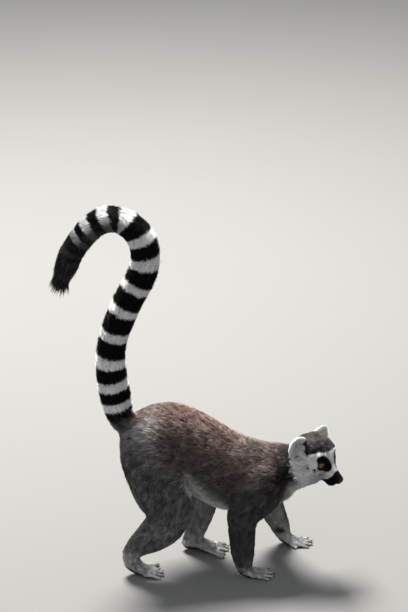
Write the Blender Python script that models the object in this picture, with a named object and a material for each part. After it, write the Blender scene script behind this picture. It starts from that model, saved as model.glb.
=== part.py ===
"""A ring-tailed lemur in mid-walk, life size, in metres with +Z up.

The animal faces +X, its left side is +Y and it stands on the plane Z = 0. The outline is that of
the coat, not of the skin. Each region is a lofted form: a smooth path of stations, each with a
half-size across the body and a half-size in the plane of the path. The forms are fused into one
body, thin cuts part it where a person would name its parts, and two eyeballs fill the sockets.
"""

import math

import bmesh
import bpy
import numpy as np
from mathutils import Euler, Matrix, Vector

# ---- driving dimensions -------------------------------------------------------------------

BACK_HEIGHT = 0.288          # highest point of the rump
VOXEL = 0.0016               # grid on which the forms are fused
CUT = 0.0004                 # width of the gap between two neighbouring parts
RING_SIDES = 28              # points round a loft
RINGS_PER_STATION = 5        # rings between two stations of a loft
BODY_TRIANGLES = 4550        # triangles of the whole body before it is parted
SOLE_DEPTH = 0.0009          # how far palms and pads are cut away flat
LEAST_PIECE = 5e-8           # anything smaller that the cuts leave, in cubic metres, is a crumb
TO_ORIGIN = Vector((-0.0070, 0.0028, 0))          # puts the middle of the outline over the origin

MM = 0.001                   # the head is laid out in millimetres, in its own frame
HEAD_PLACE = Vector((0.2152, -0.0178, 0.1922))    # midway between the eyes
HEAD_TURN = Euler((math.radians(-4), math.radians(16), math.radians(-35.5)), "XYZ")
EYE_CENTRE = Vector((-3.0, 17.8, 0.5))            # left eye
EYE_AIM = Vector((0.80, 0.60, 0.04))              # the way the left eye looks
EYE_RADIUS = 7.2
HOLLOW_RADIUS = 10.5                              # the hollow in the face round the eye
HOLLOW_SHIFT = 7.8                                # how far its middle lies in front of the eye
SOCKET_GAP = 0.3

# colour and roughness of each kind of part
GREY_COAT = ((0.235, 0.225, 0.222), 0.90)
RUSSET_COAT = ((0.285, 0.190, 0.145), 0.90)
DARK_COAT = ((0.105, 0.090, 0.086), 0.90)
WHITE_COAT = ((0.780, 0.770, 0.750), 0.88)
RINGED_COAT = ((0.330, 0.325, 0.320), 0.88)
BLACK_COAT = ((0.022, 0.021, 0.022), 0.85)
BLACK_LEATHER = ((0.015, 0.014, 0.015), 0.40)
AMBER_EYE = ((0.550, 0.200, 0.020), 0.08)


# ---- lofts --------------------------------------------------------------------------------

def smooth_stations(stations, steps):
    """The stations with points added between them on a Catmull-Rom curve, sizes included."""
    rows = np.array(stations, float)
    ends = np.vstack([2 * rows[0] - rows[1], rows, 2 * rows[-1] - rows[-2]])
    made = []
    for i in range(1, len(ends) - 2):
        before, start, end, after = ends[i - 1:i + 3]
        for t in np.arange(steps) / steps:
            made.append(0.5 * (2 * start + (end - before) * t
                               + (2 * before - 5 * start + 4 * end - after) * t ** 2
                               + (3 * start - before - 3 * end + after) * t ** 3))
    made.append(rows[-1])
    return np.array(made)


def rounded_ends(rows, bulge):
    """Rings added past both ends, shrinking as a dome does, so that a loft ends round."""
    steps = np.radians([22, 45, 66, 82])

    def dome(ring, away):
        size = ring[3:].min() * bulge
        return [np.concatenate([ring[:3] + away * size * math.sin(a), ring[3:] * math.cos(a)])
                for a in steps]

    first = rows[0][:3] - rows[1][:3]
    last = rows[-1][:3] - rows[-2][:3]
    start = dome(rows[0], first / np.linalg.norm(first))
    end = dome(rows[-1], last / np.linalg.norm(last))
    return np.array(start[::-1] + list(rows) + end)


def add_loft(bm, stations, side=(0, 1, 0), upright=False, bulge=1.0, steps=RINGS_PER_STATION):
    """Adds one closed form to the mesh.

    stations are (x, y, z, half across, half deep). side is the direction taken as across.
    upright keeps every ring in a plane of constant X, as for the trunk.
    """
    rows = rounded_ends(smooth_stations(stations, steps), bulge)
    rows[:, 3:] = np.maximum(rows[:, 3:], 0.0004)
    centres = rows[:, :3]
    tangents = np.gradient(centres, axis=0)
    rings = []
    for centre, tangent, (across, deep) in zip(centres, tangents, rows[:, 3:]):
        ahead = Vector((1, 0, 0)) if upright else Vector(tangent).normalized()
        sideways = (Vector(side) - ahead * ahead.dot(Vector(side))).normalized()
        upwards = ahead.cross(sideways)
        ring = []
        for turn in np.linspace(0, 2 * math.pi, RING_SIDES, endpoint=False):
            offset = sideways * across * math.cos(turn) + upwards * deep * math.sin(turn)
            ring.append(bm.verts.new(Vector(centre) + offset))
        rings.append(ring)
    for one, other in zip(rings, rings[1:]):
        for i in range(RING_SIDES):
            j = (i + 1) % RING_SIDES
            bm.faces.new((one[i], one[j], other[j], other[i]))
    bm.faces.new(rings[0][::-1])
    bm.faces.new(rings[-1])


def add_ball(bm, centre, size, turn=None):
    """Adds an ellipsoid with these half-sizes."""
    matrix = Matrix.Translation(centre) @ (turn or Matrix.Identity(4)) @ Matrix.Diagonal((*size, 1))
    bmesh.ops.create_uvsphere(bm, u_segments=28, v_segments=18, radius=1, matrix=matrix)


# ---- trunk and neck -----------------------------------------------------------------------

# x, top, bottom, half width. The top line runs from the root of the tail to the withers.
TRUNK = [
    (-0.112, 0.258, 0.196, 0.026),
    (-0.098, BACK_HEIGHT - 0.018, 0.176, 0.040),
    (-0.078, BACK_HEIGHT - 0.007, 0.162, 0.048),
    (-0.050, BACK_HEIGHT, 0.152, 0.052),
    (-0.022, BACK_HEIGHT - 0.003, 0.140, 0.054),
    (0.006, BACK_HEIGHT - 0.0155, 0.120, 0.056),
    (0.034, BACK_HEIGHT - 0.033, 0.104, 0.057),
    (0.062, BACK_HEIGHT - 0.051, 0.098, 0.056),
    (0.090, BACK_HEIGHT - 0.064, 0.098, 0.053),
    (0.116, BACK_HEIGHT - 0.072, 0.102, 0.047),
    (0.138, BACK_HEIGHT - 0.078, 0.110, 0.039),
    (0.152, BACK_HEIGHT - 0.088, 0.118, 0.030),
]

NECK = [
    (0.100, 0.000, 0.166, 0.046, 0.050),
    (0.130, -0.002, 0.171, 0.043, 0.045),
    (0.158, -0.007, 0.177, 0.037, 0.039),
    (0.182, -0.013, 0.184, 0.032, 0.034),
]


def add_trunk(bm):
    stations = [(x, 0, (top + bottom) / 2, half, (top - bottom) / 2)
                for x, top, bottom, half in TRUNK]
    add_loft(bm, stations, upright=True, bulge=0.5)
    add_loft(bm, NECK)


# ---- limbs --------------------------------------------------------------------------------

# Each limb runs from the body to the ground: x, y, z, half across, half deep.
RIGHT_THIGH = [
    (-0.080, -0.024, 0.236, 0.030, 0.044),
    (-0.076, -0.036, 0.208, 0.033, 0.047),
    (-0.066, -0.046, 0.178, 0.031, 0.046),
    (-0.053, -0.053, 0.150, 0.028, 0.045),
    (-0.043, -0.056, 0.130, 0.025, 0.040),
]
RIGHT_SHANK = [
    (-0.028, -0.058, 0.126, 0.023, 0.027),
    (-0.050, -0.058, 0.097, 0.023, 0.033),
    (-0.070, -0.056, 0.076, 0.020, 0.029),
    (-0.092, -0.053, 0.058, 0.016, 0.021),
    (-0.103, -0.051, 0.046, 0.0135, 0.0165),
]
RIGHT_FOOT = [
    (-0.107, -0.050, 0.040, 0.0130, 0.0160),
    (-0.106, -0.050, 0.026, 0.0120, 0.0145),
    (-0.098, -0.050, 0.016, 0.0130, 0.0118),
    (-0.087, -0.050, 0.0095, 0.0140, 0.0085),
    (-0.079, -0.050, 0.0055, 0.0140, 0.0060),
]
LEFT_THIGH = [
    (-0.078, 0.024, 0.232, 0.030, 0.042),
    (-0.050, 0.038, 0.200, 0.031, 0.044),
    (-0.015, 0.046, 0.168, 0.027, 0.036),
    (0.014, 0.050, 0.142, 0.023, 0.028),
]
LEFT_SHANK = [
    (0.020, 0.050, 0.134, 0.021, 0.024),
    (0.016, 0.047, 0.100, 0.020, 0.0245),
    (0.009, 0.042, 0.068, 0.0180, 0.0215),
    (0.000, 0.038, 0.040, 0.0150, 0.0185),
    (-0.005, 0.036, 0.026, 0.0125, 0.0165),
]
LEFT_FOOT = [
    (-0.012, 0.036, 0.018, 0.0115, 0.0150),
    (0.002, 0.036, 0.014, 0.0125, 0.0120),
    (0.018, 0.036, 0.0085, 0.0145, 0.0085),
    (0.030, 0.036, 0.0055, 0.0150, 0.0060),
]
RIGHT_UPPER_ARM = [
    (0.110, -0.032, 0.170, 0.028, 0.040),
    (0.104, -0.042, 0.152, 0.027, 0.040),
    (0.090, -0.050, 0.132, 0.025, 0.034),
    (0.078, -0.055, 0.114, 0.022, 0.026),
]
RIGHT_FOREARM = [
    (0.0745, -0.056, 0.116, 0.0215, 0.0240),
    (0.0755, -0.057, 0.092, 0.0205, 0.0230),
    (0.0760, -0.057, 0.066, 0.0190, 0.0212),
    (0.0775, -0.057, 0.040, 0.0160, 0.0190),
    (0.0795, -0.057, 0.022, 0.0125, 0.0145),
]
RIGHT_HAND = [
    (0.0810, -0.056, 0.016, 0.0115, 0.0125),
    (0.0880, -0.055, 0.0095, 0.0130, 0.0092),
    (0.0980, -0.054, 0.0055, 0.0130, 0.0060),
]
LEFT_UPPER_ARM = [
    (0.118, 0.030, 0.172, 0.028, 0.036),
    (0.117, 0.042, 0.148, 0.026, 0.034),
    (0.113, 0.051, 0.122, 0.023, 0.029),
    (0.111, 0.055, 0.104, 0.021, 0.0255),
]
LEFT_FOREARM = [
    (0.112, 0.055, 0.104, 0.0210, 0.0250),
    (0.125, 0.056, 0.076, 0.0195, 0.0225),
    (0.137, 0.057, 0.048, 0.0165, 0.0185),
    (0.147, 0.058, 0.024, 0.0125, 0.0145),
]
LEFT_HAND = [
    (0.1500, 0.058, 0.016, 0.0115, 0.0120),
    (0.1570, 0.058, 0.0095, 0.0130, 0.0090),
    (0.1670, 0.058, 0.0055, 0.0130, 0.0060),
]

LIMBS = [RIGHT_THIGH, RIGHT_SHANK, RIGHT_FOOT, LEFT_THIGH, LEFT_SHANK, LEFT_FOOT,
         RIGHT_UPPER_ARM, RIGHT_FOREARM, RIGHT_HAND, LEFT_UPPER_ARM, LEFT_FOREARM, LEFT_HAND]

# Digits fan out from the last station of a hand or foot: outward angle in degrees, length.
FINGERS = [(-12, 0.027), (-5, 0.033), (2, 0.033), (9, 0.027)]
TOES = [(-10, 0.022), (-3, 0.028), (4, 0.028), (11, 0.024)]
THUMB = (44, 0.020)
BIG_TOE = (34, 0.041)
DIGIT_RADIUS = 0.0036
BIG_TOE_RADIUS = 0.0050
KNUCKLE_LIFT = 0.0030        # the middle joint of a digit stands this much above its tip


def add_digit(bm, root, angle, length, radius):
    """One digit on the ground, pointing this many degrees to the left of +X."""
    ahead = Vector((math.cos(angle), math.sin(angle), 0))
    side = (-ahead.y, ahead.x, 0)
    tip_height = radius * 0.78 - SOLE_DEPTH
    stations = []
    for share, rise, thick in [(0, 1.0, 1.10), (0.38, 1.25, 0.98), (0.72, 0.35, 0.92), (1, 0, 0.86)]:
        place = root + ahead * length * share
        height = tip_height + KNUCKLE_LIFT * rise
        stations.append((place.x, place.y, height, radius * thick, radius * thick * 0.92))
    add_loft(bm, stations, side=side, steps=4)


def add_digits(bm, last, inward, fingers, spare, spare_radius, spare_back):
    """Four digits and the opposed one. inward is +1 where the body is to the left."""
    x, y, _, across, _ = last
    for number, (degrees, length) in enumerate(fingers):
        shift = (number - 1.5) * across * 0.56
        root = Vector((x - 0.004, y - inward * shift, 0))
        add_digit(bm, root, -inward * math.radians(degrees), length, DIGIT_RADIUS)
    degrees, length = spare
    root = Vector((x - spare_back, y + inward * across * 0.45, 0))
    add_digit(bm, root, inward * math.radians(degrees), length, spare_radius)


def add_limbs(bm):
    for stations in LIMBS:
        add_loft(bm, stations)
    for last, inward in ((RIGHT_FOOT[-1], 1), (LEFT_FOOT[-1], -1)):
        add_digits(bm, last, inward, TOES, BIG_TOE, BIG_TOE_RADIUS, 0.019)
    for last, inward in ((RIGHT_HAND[-1], 1), (LEFT_HAND[-1], -1)):
        add_digits(bm, last, inward, FINGERS, THUMB, DIGIT_RADIUS, 0.012)


# ---- tail ---------------------------------------------------------------------------------

# x, y, z, radius, from the root up, over the crook and down to the brush.
TAIL = [
    (-0.098, 0.000, 0.243, 0.0170),
    (-0.119, 0.000, 0.258, 0.0205),
    (-0.130, 0.000, 0.300, 0.0245),
    (-0.137, -0.001, 0.350, 0.0235),
    (-0.133, -0.002, 0.403, 0.0228),
    (-0.110, -0.003, 0.466, 0.0232),
    (-0.082, -0.004, 0.524, 0.0230),
    (-0.083, -0.004, 0.571, 0.0224),
    (-0.110, -0.003, 0.603, 0.0208),
    (-0.152, 0.000, 0.603, 0.0205),
    (-0.190, 0.003, 0.560, 0.0190),
    (-0.208, 0.005, 0.519, 0.0180),
    (-0.218, 0.006, 0.491, 0.0110),
]


def add_tail(bm):
    add_loft(bm, [(x, y, z, r, r) for x, y, z, r in TAIL])


# ---- head ---------------------------------------------------------------------------------

# In the head's own frame, +X to the nose, millimetres: x, z, half across, half deep.
SKULL = [
    (-52, 4, 20, 21),
    (-43, 7, 27, 26.5),
    (-31, 8.5, 30.5, 28.5),
    (-19, 8, 31, 27.5),
    (-8, 4.5, 28.5, 24.5),
    (1, -1.5, 22, 20),
    (10, -9.5, 15, 14.2),
    (18, -14, 11.8, 11.4),
    (26, -16.8, 10.2, 9.6),
    (31.5, -17.2, 8.8, 7.8),
]
JAW = [
    (-24, -16, 19, 13),
    (-9, -20, 17, 10),
    (5, -24, 12.5, 8.2),
    (15, -26.8, 9.4, 6.6),
    (22, -27.4, 7.2, 5.4),
]
CHEEK_CENTRE, CHEEK_SIZE = Vector((-23, 20, -9)), (19, 14, 17)
BROW_CENTRE, BROW_SIZE = Vector((-9, 15, 14)), (9.5, 12, 11)
NOSE_CENTRE, NOSE_SIZE = Vector((35.2, 0, -14)), (3.2, 5.2, 3.8)
NOSE_CUT = (33.6, 0, -14)
EAR_CENTRE = Vector((-43.5, 39, 16.6))
EAR_UP = Vector((-0.15, 0.72, 0.68))    # from the root of the ear to its tip
EAR_LEAN = 0.25                         # how much more the left ear moves than the right one
EAR_LIFT = 4.2                          # the right ear is held this much higher, the left lower
EAR_SWING = 0.40                        # the right ear opens this much more outwards
EAR_SIZE = (6.0, 20.0, 20.5)            # half thickness, half width, half height
EAR_CUP = 6.0                           # how far the rim stands forward of the middle
EAR_ROOT = Vector((-42, 32.5, 18))      # where the ear is parted from the head
EAR_CUT_FACING = Vector((-0.05, 0.80, 0.60))
EAR_CUT_RADIUS = 27.5


def head_matrix():
    return Matrix.Translation(HEAD_PLACE) @ HEAD_TURN.to_matrix().to_4x4()


def ear_place(point, side):
    """A point of the left ear, moved to where this ear is held. side is +1 for the left ear."""
    return Vector((point.x, point.y * side, point.z - EAR_LIFT * (side + EAR_LEAN)))


def add_ear(bm, side):
    """A cupped shell, opening forwards."""
    made = bmesh.ops.create_uvsphere(bm, u_segments=28, v_segments=20, radius=1)["verts"]
    thick, wide, high = EAR_SIZE
    upward = EAR_UP.normalized()
    ahead = Vector((1, -EAR_SWING * (side + EAR_LEAN), 0))
    facing = (ahead - upward * upward.dot(ahead)).normalized()
    sideways = upward.cross(facing)
    for vert in made:
        across, up = vert.co.y, vert.co.z
        rim = across ** 2 + max(up, 0) ** 2
        narrow = 1 - 0.18 * up
        point = (EAR_CENTRE + facing * (vert.co.x * thick + EAR_CUP * (rim - 0.6))
                 + sideways * across * wide * narrow + upward * up * high)
        vert.co = ear_place(point, side) * MM


def add_head(bm):
    """The head is built in its own frame, then turned and put in place."""
    head = bmesh.new()
    add_loft(head, [(x * MM, 0, z * MM, a * MM, d * MM) for x, z, a, d in SKULL],
             upright=True, bulge=0.7)
    add_loft(head, [(x * MM, 0, z * MM, a * MM, d * MM) for x, z, a, d in JAW],
             upright=True, bulge=0.8)
    for side in (1, -1):
        for centre, size in ((CHEEK_CENTRE, CHEEK_SIZE), (BROW_CENTRE, BROW_SIZE)):
            place = Vector((centre.x, centre.y * side, centre.z)) * MM
            add_ball(head, place, [s * MM for s in size])
        add_ear(head, side)
    add_ball(head, NOSE_CENTRE * MM, [s * MM for s in NOSE_SIZE])
    bmesh.ops.recalc_face_normals(head, faces=head.faces)
    bmesh.ops.transform(head, matrix=head_matrix(), verts=head.verts)
    scratch = bpy.data.meshes.new("head_scratch")
    head.to_mesh(scratch)
    head.free()
    bm.from_mesh(scratch)
    bpy.data.meshes.remove(scratch)


# ---- one body -----------------------------------------------------------------------------

def clear_scene():
    for obj in list(bpy.data.objects):
        bpy.data.objects.remove(obj)


def new_object(name, bm):
    mesh = bpy.data.meshes.new(name)
    bm.to_mesh(mesh)
    bm.free()
    obj = bpy.data.objects.new(name, mesh)
    bpy.context.scene.collection.objects.link(obj)
    return obj


def applied(obj):
    """Replaces the object's mesh by what its modifiers make of it."""
    bpy.context.view_layer.update()
    graph = bpy.context.evaluated_depsgraph_get()
    mesh = bpy.data.meshes.new_from_object(obj.evaluated_get(graph))
    obj.modifiers.clear()
    obj.data = mesh
    return obj


def soften(obj):
    """Rounds the creases where forms meet, strongly on the body and lightly on thin parts."""
    bm = bmesh.new()
    bm.from_mesh(obj.data)
    into_head = head_matrix().inverted()
    body, face, thin = [], [], []
    for vert in bm.verts:
        local = into_head @ vert.co
        if local.x > -0.056 and vert.co.x > 0.13 and vert.co.z > 0.12:
            (thin if local.z > 0.028 and abs(local.y) > 0.022 else face).append(vert)
        elif vert.co.z < 0.020:
            thin.append(vert)
        else:
            body.append(vert)
    for verts, times in ((body, 16), (face, 4), (thin, 1)):
        for _ in range(times):
            bmesh.ops.smooth_vert(bm, verts=verts, factor=0.5, use_axis_x=True, use_axis_y=True,
                                  use_axis_z=True)
    bm.to_mesh(obj.data)
    bm.free()


def make_body():
    """All forms fused into one closed surface."""
    bm = bmesh.new()
    add_trunk(bm)
    add_limbs(bm)
    add_tail(bm)
    bmesh.ops.recalc_face_normals(bm, faces=bm.faces)
    add_head(bm)
    body = new_object("whole_body", bm)
    fuse = body.modifiers.new("fuse", "REMESH")
    fuse.mode = "VOXEL"
    fuse.voxel_size = VOXEL
    applied(body)
    soften(body)
    return body


def carve_hollows(body):
    """Cuts the shallow hollows in which the eyes stand."""
    spot = EYE_CENTRE + EYE_AIM.normalized() * HOLLOW_SHIFT
    hollows = [ball_mesh(head_point(spot.x, spot.y * side, spot.z), HOLLOW_RADIUS * MM)
               for side in (1, -1)]
    cut_with(body, hollows)


def thin_out(obj, triangles):
    """Reduces the object to about this many triangles."""
    thin = obj.modifiers.new("thin", "DECIMATE")
    thin.ratio = triangles / (2 * len(obj.data.polygons))
    applied(obj)
    bm = bmesh.new()
    bm.from_mesh(obj.data)
    seen = {}
    for face in bm.faces:
        seen.setdefault(frozenset(vert.index for vert in face.verts), []).append(face)
    # Two faces back to back on the same points enclose nothing.
    doubled = [face for faces in seen.values() if len(faces) > 1 for face in faces]
    bmesh.ops.delete(bm, geom=doubled, context="FACES")
    bm.to_mesh(obj.data)
    bm.free()


# ---- parting ------------------------------------------------------------------------------

def head_point(x, y, z):
    """World place of a point given in millimetres in the head's own frame."""
    return head_matrix() @ Vector((x * MM, y * MM, z * MM))


def head_direction(x, y, z):
    return HEAD_TURN.to_matrix() @ Vector((x, y, z))


def tail_disc(share):
    """A disc across the tail at this share of its length."""
    rows = smooth_stations(TAIL, 12)
    steps = np.linalg.norm(np.diff(rows[:, :3], axis=0), axis=1)
    run = np.concatenate([[0], np.cumsum(steps)])
    i = int(np.searchsorted(run, share * run[-1]))
    return Vector(rows[i, :3]), Vector(rows[i + 1, :3] - rows[i - 1, :3]), rows[i, 3] + 0.008


def ear_disc(side):
    """A disc through the root of one ear, close to the skull."""
    facing = head_direction(EAR_CUT_FACING.x, EAR_CUT_FACING.y * side, EAR_CUT_FACING.z)
    return head_point(*ear_place(EAR_ROOT, side)), facing, EAR_CUT_RADIUS * MM


# Each cut is a disc: its centre, the way its face points, and its radius.
JOINT_DISCS = [
    (Vector((0.172, -0.010, 0.180)), Vector((0.90, -0.30, 0.35)), 0.056),
    (Vector((0.150, -0.005, 0.168)), Vector((0.95, -0.05, 0.26)), 0.057),
    (Vector((-0.067, -0.043, 0.185)), Vector((-0.505, -0.641, -0.577)), 0.082),
    (Vector((-0.030, 0.038, 0.174)), Vector((-0.36, 0.767, -0.53)), 0.105),
    (Vector((-0.044, -0.056, 0.120)), Vector((-0.28, 0, 0.96)), 0.050),
    (Vector((0.018, 0.050, 0.115)), Vector((-0.10, -0.30, 0.95)), 0.032),
    (Vector((-0.103, -0.0505, 0.044)), Vector((0.20, 0, 0.98)), 0.0235),
    (Vector((-0.003, 0.036, 0.027)), Vector((-0.35, 0, 0.94)), 0.024),
    (Vector((0.098, -0.050, 0.148)), Vector((0.20, -0.85, -0.50)), 0.064),
    (Vector((0.112, 0.047, 0.148)), Vector((0.15, 0.85, -0.50)), 0.062),
    (Vector((0.080, -0.056, 0.106)), Vector((0, 0.10, 1)), 0.0325),
    (Vector((0.1135, 0.0545, 0.103)), Vector((-0.30, -0.10, 1)), 0.031),
    (Vector((0.0795, -0.057, 0.0225)), Vector((-0.15, 0, 1)), 0.019),
    (Vector((0.1475, 0.058, 0.0215)), Vector((-0.45, 0, 0.89)), 0.019),
]
TAIL_SHARES = (0.055, 0.22, 0.38, 0.54, 0.70, 0.86)

# A point in the middle of each part, by which the loose pieces are told apart.
MIDDLES = {
    "trunk": (0.02, 0, 0.19),
    "neck": (0.158, 0, 0.175),
    "head": (0.19, -0.01, 0.195),
    "thigh_right": (-0.07, -0.06, 0.16),
    "thigh_left": (-0.01, 0.06, 0.155),
    "shank_right": (-0.07, -0.056, 0.08),
    "shank_left": (0.01, 0.044, 0.07),
    "foot_right": (-0.09, -0.05, 0.015),
    "foot_left": (0.02, 0.036, 0.01),
    "upper_arm_right": (0.10, -0.06, 0.14),
    "upper_arm_left": (0.115, 0.06, 0.14),
    "forearm_right": (0.0765, -0.057, 0.065),
    "forearm_left": (0.13, 0.056, 0.06),
    "hand_right": (0.10, -0.055, 0.008),
    "hand_left": (0.17, 0.058, 0.008),
}


def middles():
    found = {name: Vector(place) for name, place in MIDDLES.items()}
    for side, word in ((1, "left"), (-1, "right")):
        middle = EAR_CENTRE + EAR_UP.normalized() * 6
        found["ear_" + word] = head_point(*ear_place(middle, side))
    found["nose"] = head_point(NOSE_CENTRE.x, NOSE_CENTRE.y, NOSE_CENTRE.z)
    shares = TAIL_SHARES + (1.0,)
    for number in range(6):
        share = (shares[number] + shares[number + 1]) / 2
        found["tail_%d" % (number + 1)] = tail_disc(share)[0]
    return found


def cut_with(obj, cutters):
    """Cuts these meshes out of the object and removes them."""
    joined = bmesh.new()
    for cutter in cutters:
        joined.from_mesh(cutter)
        bpy.data.meshes.remove(cutter)
    tool = new_object("cutter", joined)
    tool.hide_render = True
    tool.display_type = "WIRE"
    cut = obj.modifiers.new("cut", "BOOLEAN")
    cut.operation = "DIFFERENCE"
    cut.solver = "EXACT"
    cut.object = tool
    applied(obj)
    bpy.data.objects.remove(tool)


def mesh_from(bm, name):
    mesh = bpy.data.meshes.new(name)
    bm.to_mesh(mesh)
    bm.free()
    return mesh


def disc_mesh(centre, facing, radius):
    bm = bmesh.new()
    turn = facing.to_track_quat("Z", "Y").to_matrix().to_4x4()
    bmesh.ops.create_cone(bm, cap_ends=True, segments=40, radius1=radius, radius2=radius,
                          depth=CUT, matrix=Matrix.Translation(centre) @ turn)
    return mesh_from(bm, "disc")


def ball_mesh(centre, radius):
    bm = bmesh.new()
    bmesh.ops.create_uvsphere(bm, u_segments=18, v_segments=10, radius=radius,
                              matrix=Matrix.Translation(centre))
    return mesh_from(bm, "ball")


def ground_mesh():
    """A block whose top is the plane Z = 0."""
    bm = bmesh.new()
    bmesh.ops.create_cube(bm, size=1.0, matrix=Matrix.Translation((0, 0, -0.5)))
    return mesh_from(bm, "ground")


def loose_pieces(obj):
    """The separate closed pieces of an object, each as its own bmesh."""
    source = bmesh.new()
    source.from_mesh(obj.data)
    source.verts.ensure_lookup_table()
    label = [0] * len(source.verts)
    count = 0
    for start in source.verts:
        if label[start.index]:
            continue
        count += 1
        label[start.index] = count
        edge = [start]
        while edge:
            for link in edge.pop().link_edges:
                for other in link.verts:
                    if not label[other.index]:
                        label[other.index] = count
                        edge.append(other)
    pieces = []
    for number in range(1, count + 1):
        piece = source.copy()
        others = [vert for vert in piece.verts if label[vert.index] != number]
        bmesh.ops.delete(piece, geom=others, context="VERTS")
        pieces.append(piece)
    source.free()
    return pieces


def nearest_name(piece, wanted):
    middle = sum((vert.co for vert in piece.verts), Vector()) / len(piece.verts)
    return min(wanted, key=lambda name: (wanted[name] - middle).length)


def part(body):
    """Parts the body with the thin discs and names every piece."""
    discs = JOINT_DISCS + [ear_disc(1), ear_disc(-1)] + [tail_disc(s) for s in TAIL_SHARES]
    discs.append((head_point(*NOSE_CUT), head_direction(1, 0, 0.1), 0.013))
    for disc in discs:
        cut_with(body, [disc_mesh(*disc)])
    eyes = [head_point(EYE_CENTRE.x, EYE_CENTRE.y * side, EYE_CENTRE.z) for side in (1, -1)]
    cut_with(body, [ball_mesh(eye, (EYE_RADIUS + SOCKET_GAP) * MM) for eye in eyes])
    wanted = middles()
    for piece in loose_pieces(body):
        if piece.calc_volume() > LEAST_PIECE:
            new_object(nearest_name(piece, wanted), piece)
    for eye, word in zip(eyes, ("left", "right")):
        ball = bpy.data.objects.new("eye_" + word, ball_mesh(eye, EYE_RADIUS * MM))
        bpy.context.scene.collection.objects.link(ball)
    bpy.data.objects.remove(body)


# ---- finish -------------------------------------------------------------------------------

KINDS = {
    "trunk": RUSSET_COAT, "neck": DARK_COAT, "head": WHITE_COAT, "ear": WHITE_COAT,
    "nose": BLACK_LEATHER, "eye": AMBER_EYE, "tail": RINGED_COAT, "tail_6": BLACK_COAT,
    "thigh": GREY_COAT, "shank": GREY_COAT, "foot": WHITE_COAT, "upper": GREY_COAT,
    "forearm": GREY_COAT, "hand": WHITE_COAT,
}


def finish(obj):
    """Moves the part over the origin and gives it its material and smooth shading."""
    colour, roughness = KINDS.get(obj.name) or KINDS[obj.name.split("_")[0]]
    material = bpy.data.materials.new(obj.name)
    material.use_nodes = True
    shader = material.node_tree.nodes["Principled BSDF"]
    shader.inputs["Base Color"].default_value = (*colour, 1)
    shader.inputs["Roughness"].default_value = roughness
    shader.inputs["Metallic"].default_value = 0
    obj.data.materials.clear()
    obj.data.materials.append(material)
    obj.data.transform(Matrix.Translation(TO_ORIGIN))
    obj.data.shade_smooth()
    obj.data.set_sharp_from_angle(angle=math.radians(45))


def main():
    clear_scene()
    body = make_body()
    carve_hollows(body)
    thin_out(body, BODY_TRIANGLES)
    cut_with(body, [ground_mesh()])
    part(body)
    for obj in bpy.data.objects:
        finish(obj)


if __name__ == "__main__":
    main()
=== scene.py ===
"""The looks of a still, life-size ring-tailed lemur: skin, coat, eyes, lids, nose and nails.

The CAD nodes give the outline of the coat at its tips. One skin lies inside them by the depth of
the coat, and solid tufts of fur grow from the skin out to that outline, along the lie of the coat.
Skin and coat take their markings from the same functions of place.
"""

import logging
import math
from dataclasses import dataclass, field
from enum import Enum

import bmesh
import bpy
import numpy as np
from mathutils import Matrix, Vector
from mathutils.bvhtree import BVHTree


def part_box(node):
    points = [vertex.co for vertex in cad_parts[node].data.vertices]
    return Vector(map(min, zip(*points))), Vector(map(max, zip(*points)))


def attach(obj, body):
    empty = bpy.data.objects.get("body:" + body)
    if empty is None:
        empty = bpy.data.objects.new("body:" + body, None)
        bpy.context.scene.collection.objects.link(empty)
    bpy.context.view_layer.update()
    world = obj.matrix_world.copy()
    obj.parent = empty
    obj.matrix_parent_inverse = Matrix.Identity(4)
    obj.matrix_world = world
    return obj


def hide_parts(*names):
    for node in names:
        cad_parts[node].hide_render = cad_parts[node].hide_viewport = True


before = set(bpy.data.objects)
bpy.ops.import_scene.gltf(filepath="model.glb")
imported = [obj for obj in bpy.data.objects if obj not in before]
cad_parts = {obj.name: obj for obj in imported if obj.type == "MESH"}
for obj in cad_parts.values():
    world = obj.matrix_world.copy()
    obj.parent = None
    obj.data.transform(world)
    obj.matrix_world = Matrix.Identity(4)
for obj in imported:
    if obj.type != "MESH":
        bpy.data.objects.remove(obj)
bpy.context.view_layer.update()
LOG = logging.getLogger("lemur")
MM = 0.001
SIDES = {"left": 1, "right": -1}

Span = tuple[float, float]
Triple = tuple[float, float, float]
Colour = tuple[float, float, float]
Number = float | np.ndarray
Input = float | tuple[float, ...] | bpy.types.NodeSocket

HASH_FACTORS = (73856093, 19349663, 83492791)       # large primes that scatter grid places
HASH_SEED = 2971215
HASH_MIX = 1274126177
TINY = 1e-9                         # keeps divisions away from zero


# ---- small helpers ------------------------------------------------------------------------

def ramp(value: Number, low: Number, high: Number) -> np.ndarray:
    """Returns a smooth step: 0 at low and 1 at high, which may be below low."""
    share = np.clip((value - low) / (high - low), 0, 1)
    return share * share * (3 - 2 * share)


def unit(vectors: np.ndarray) -> np.ndarray:
    """Returns the vectors, one a row, at length 1."""
    return vectors / np.maximum(np.linalg.norm(vectors, axis=-1, keepdims=True), 1e-12)


def across(vectors: np.ndarray, normals: np.ndarray) -> np.ndarray:
    """Returns what is left of the vectors in the planes of these normals."""
    return vectors - normals * (vectors * normals).sum(1, keepdims=True)


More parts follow.
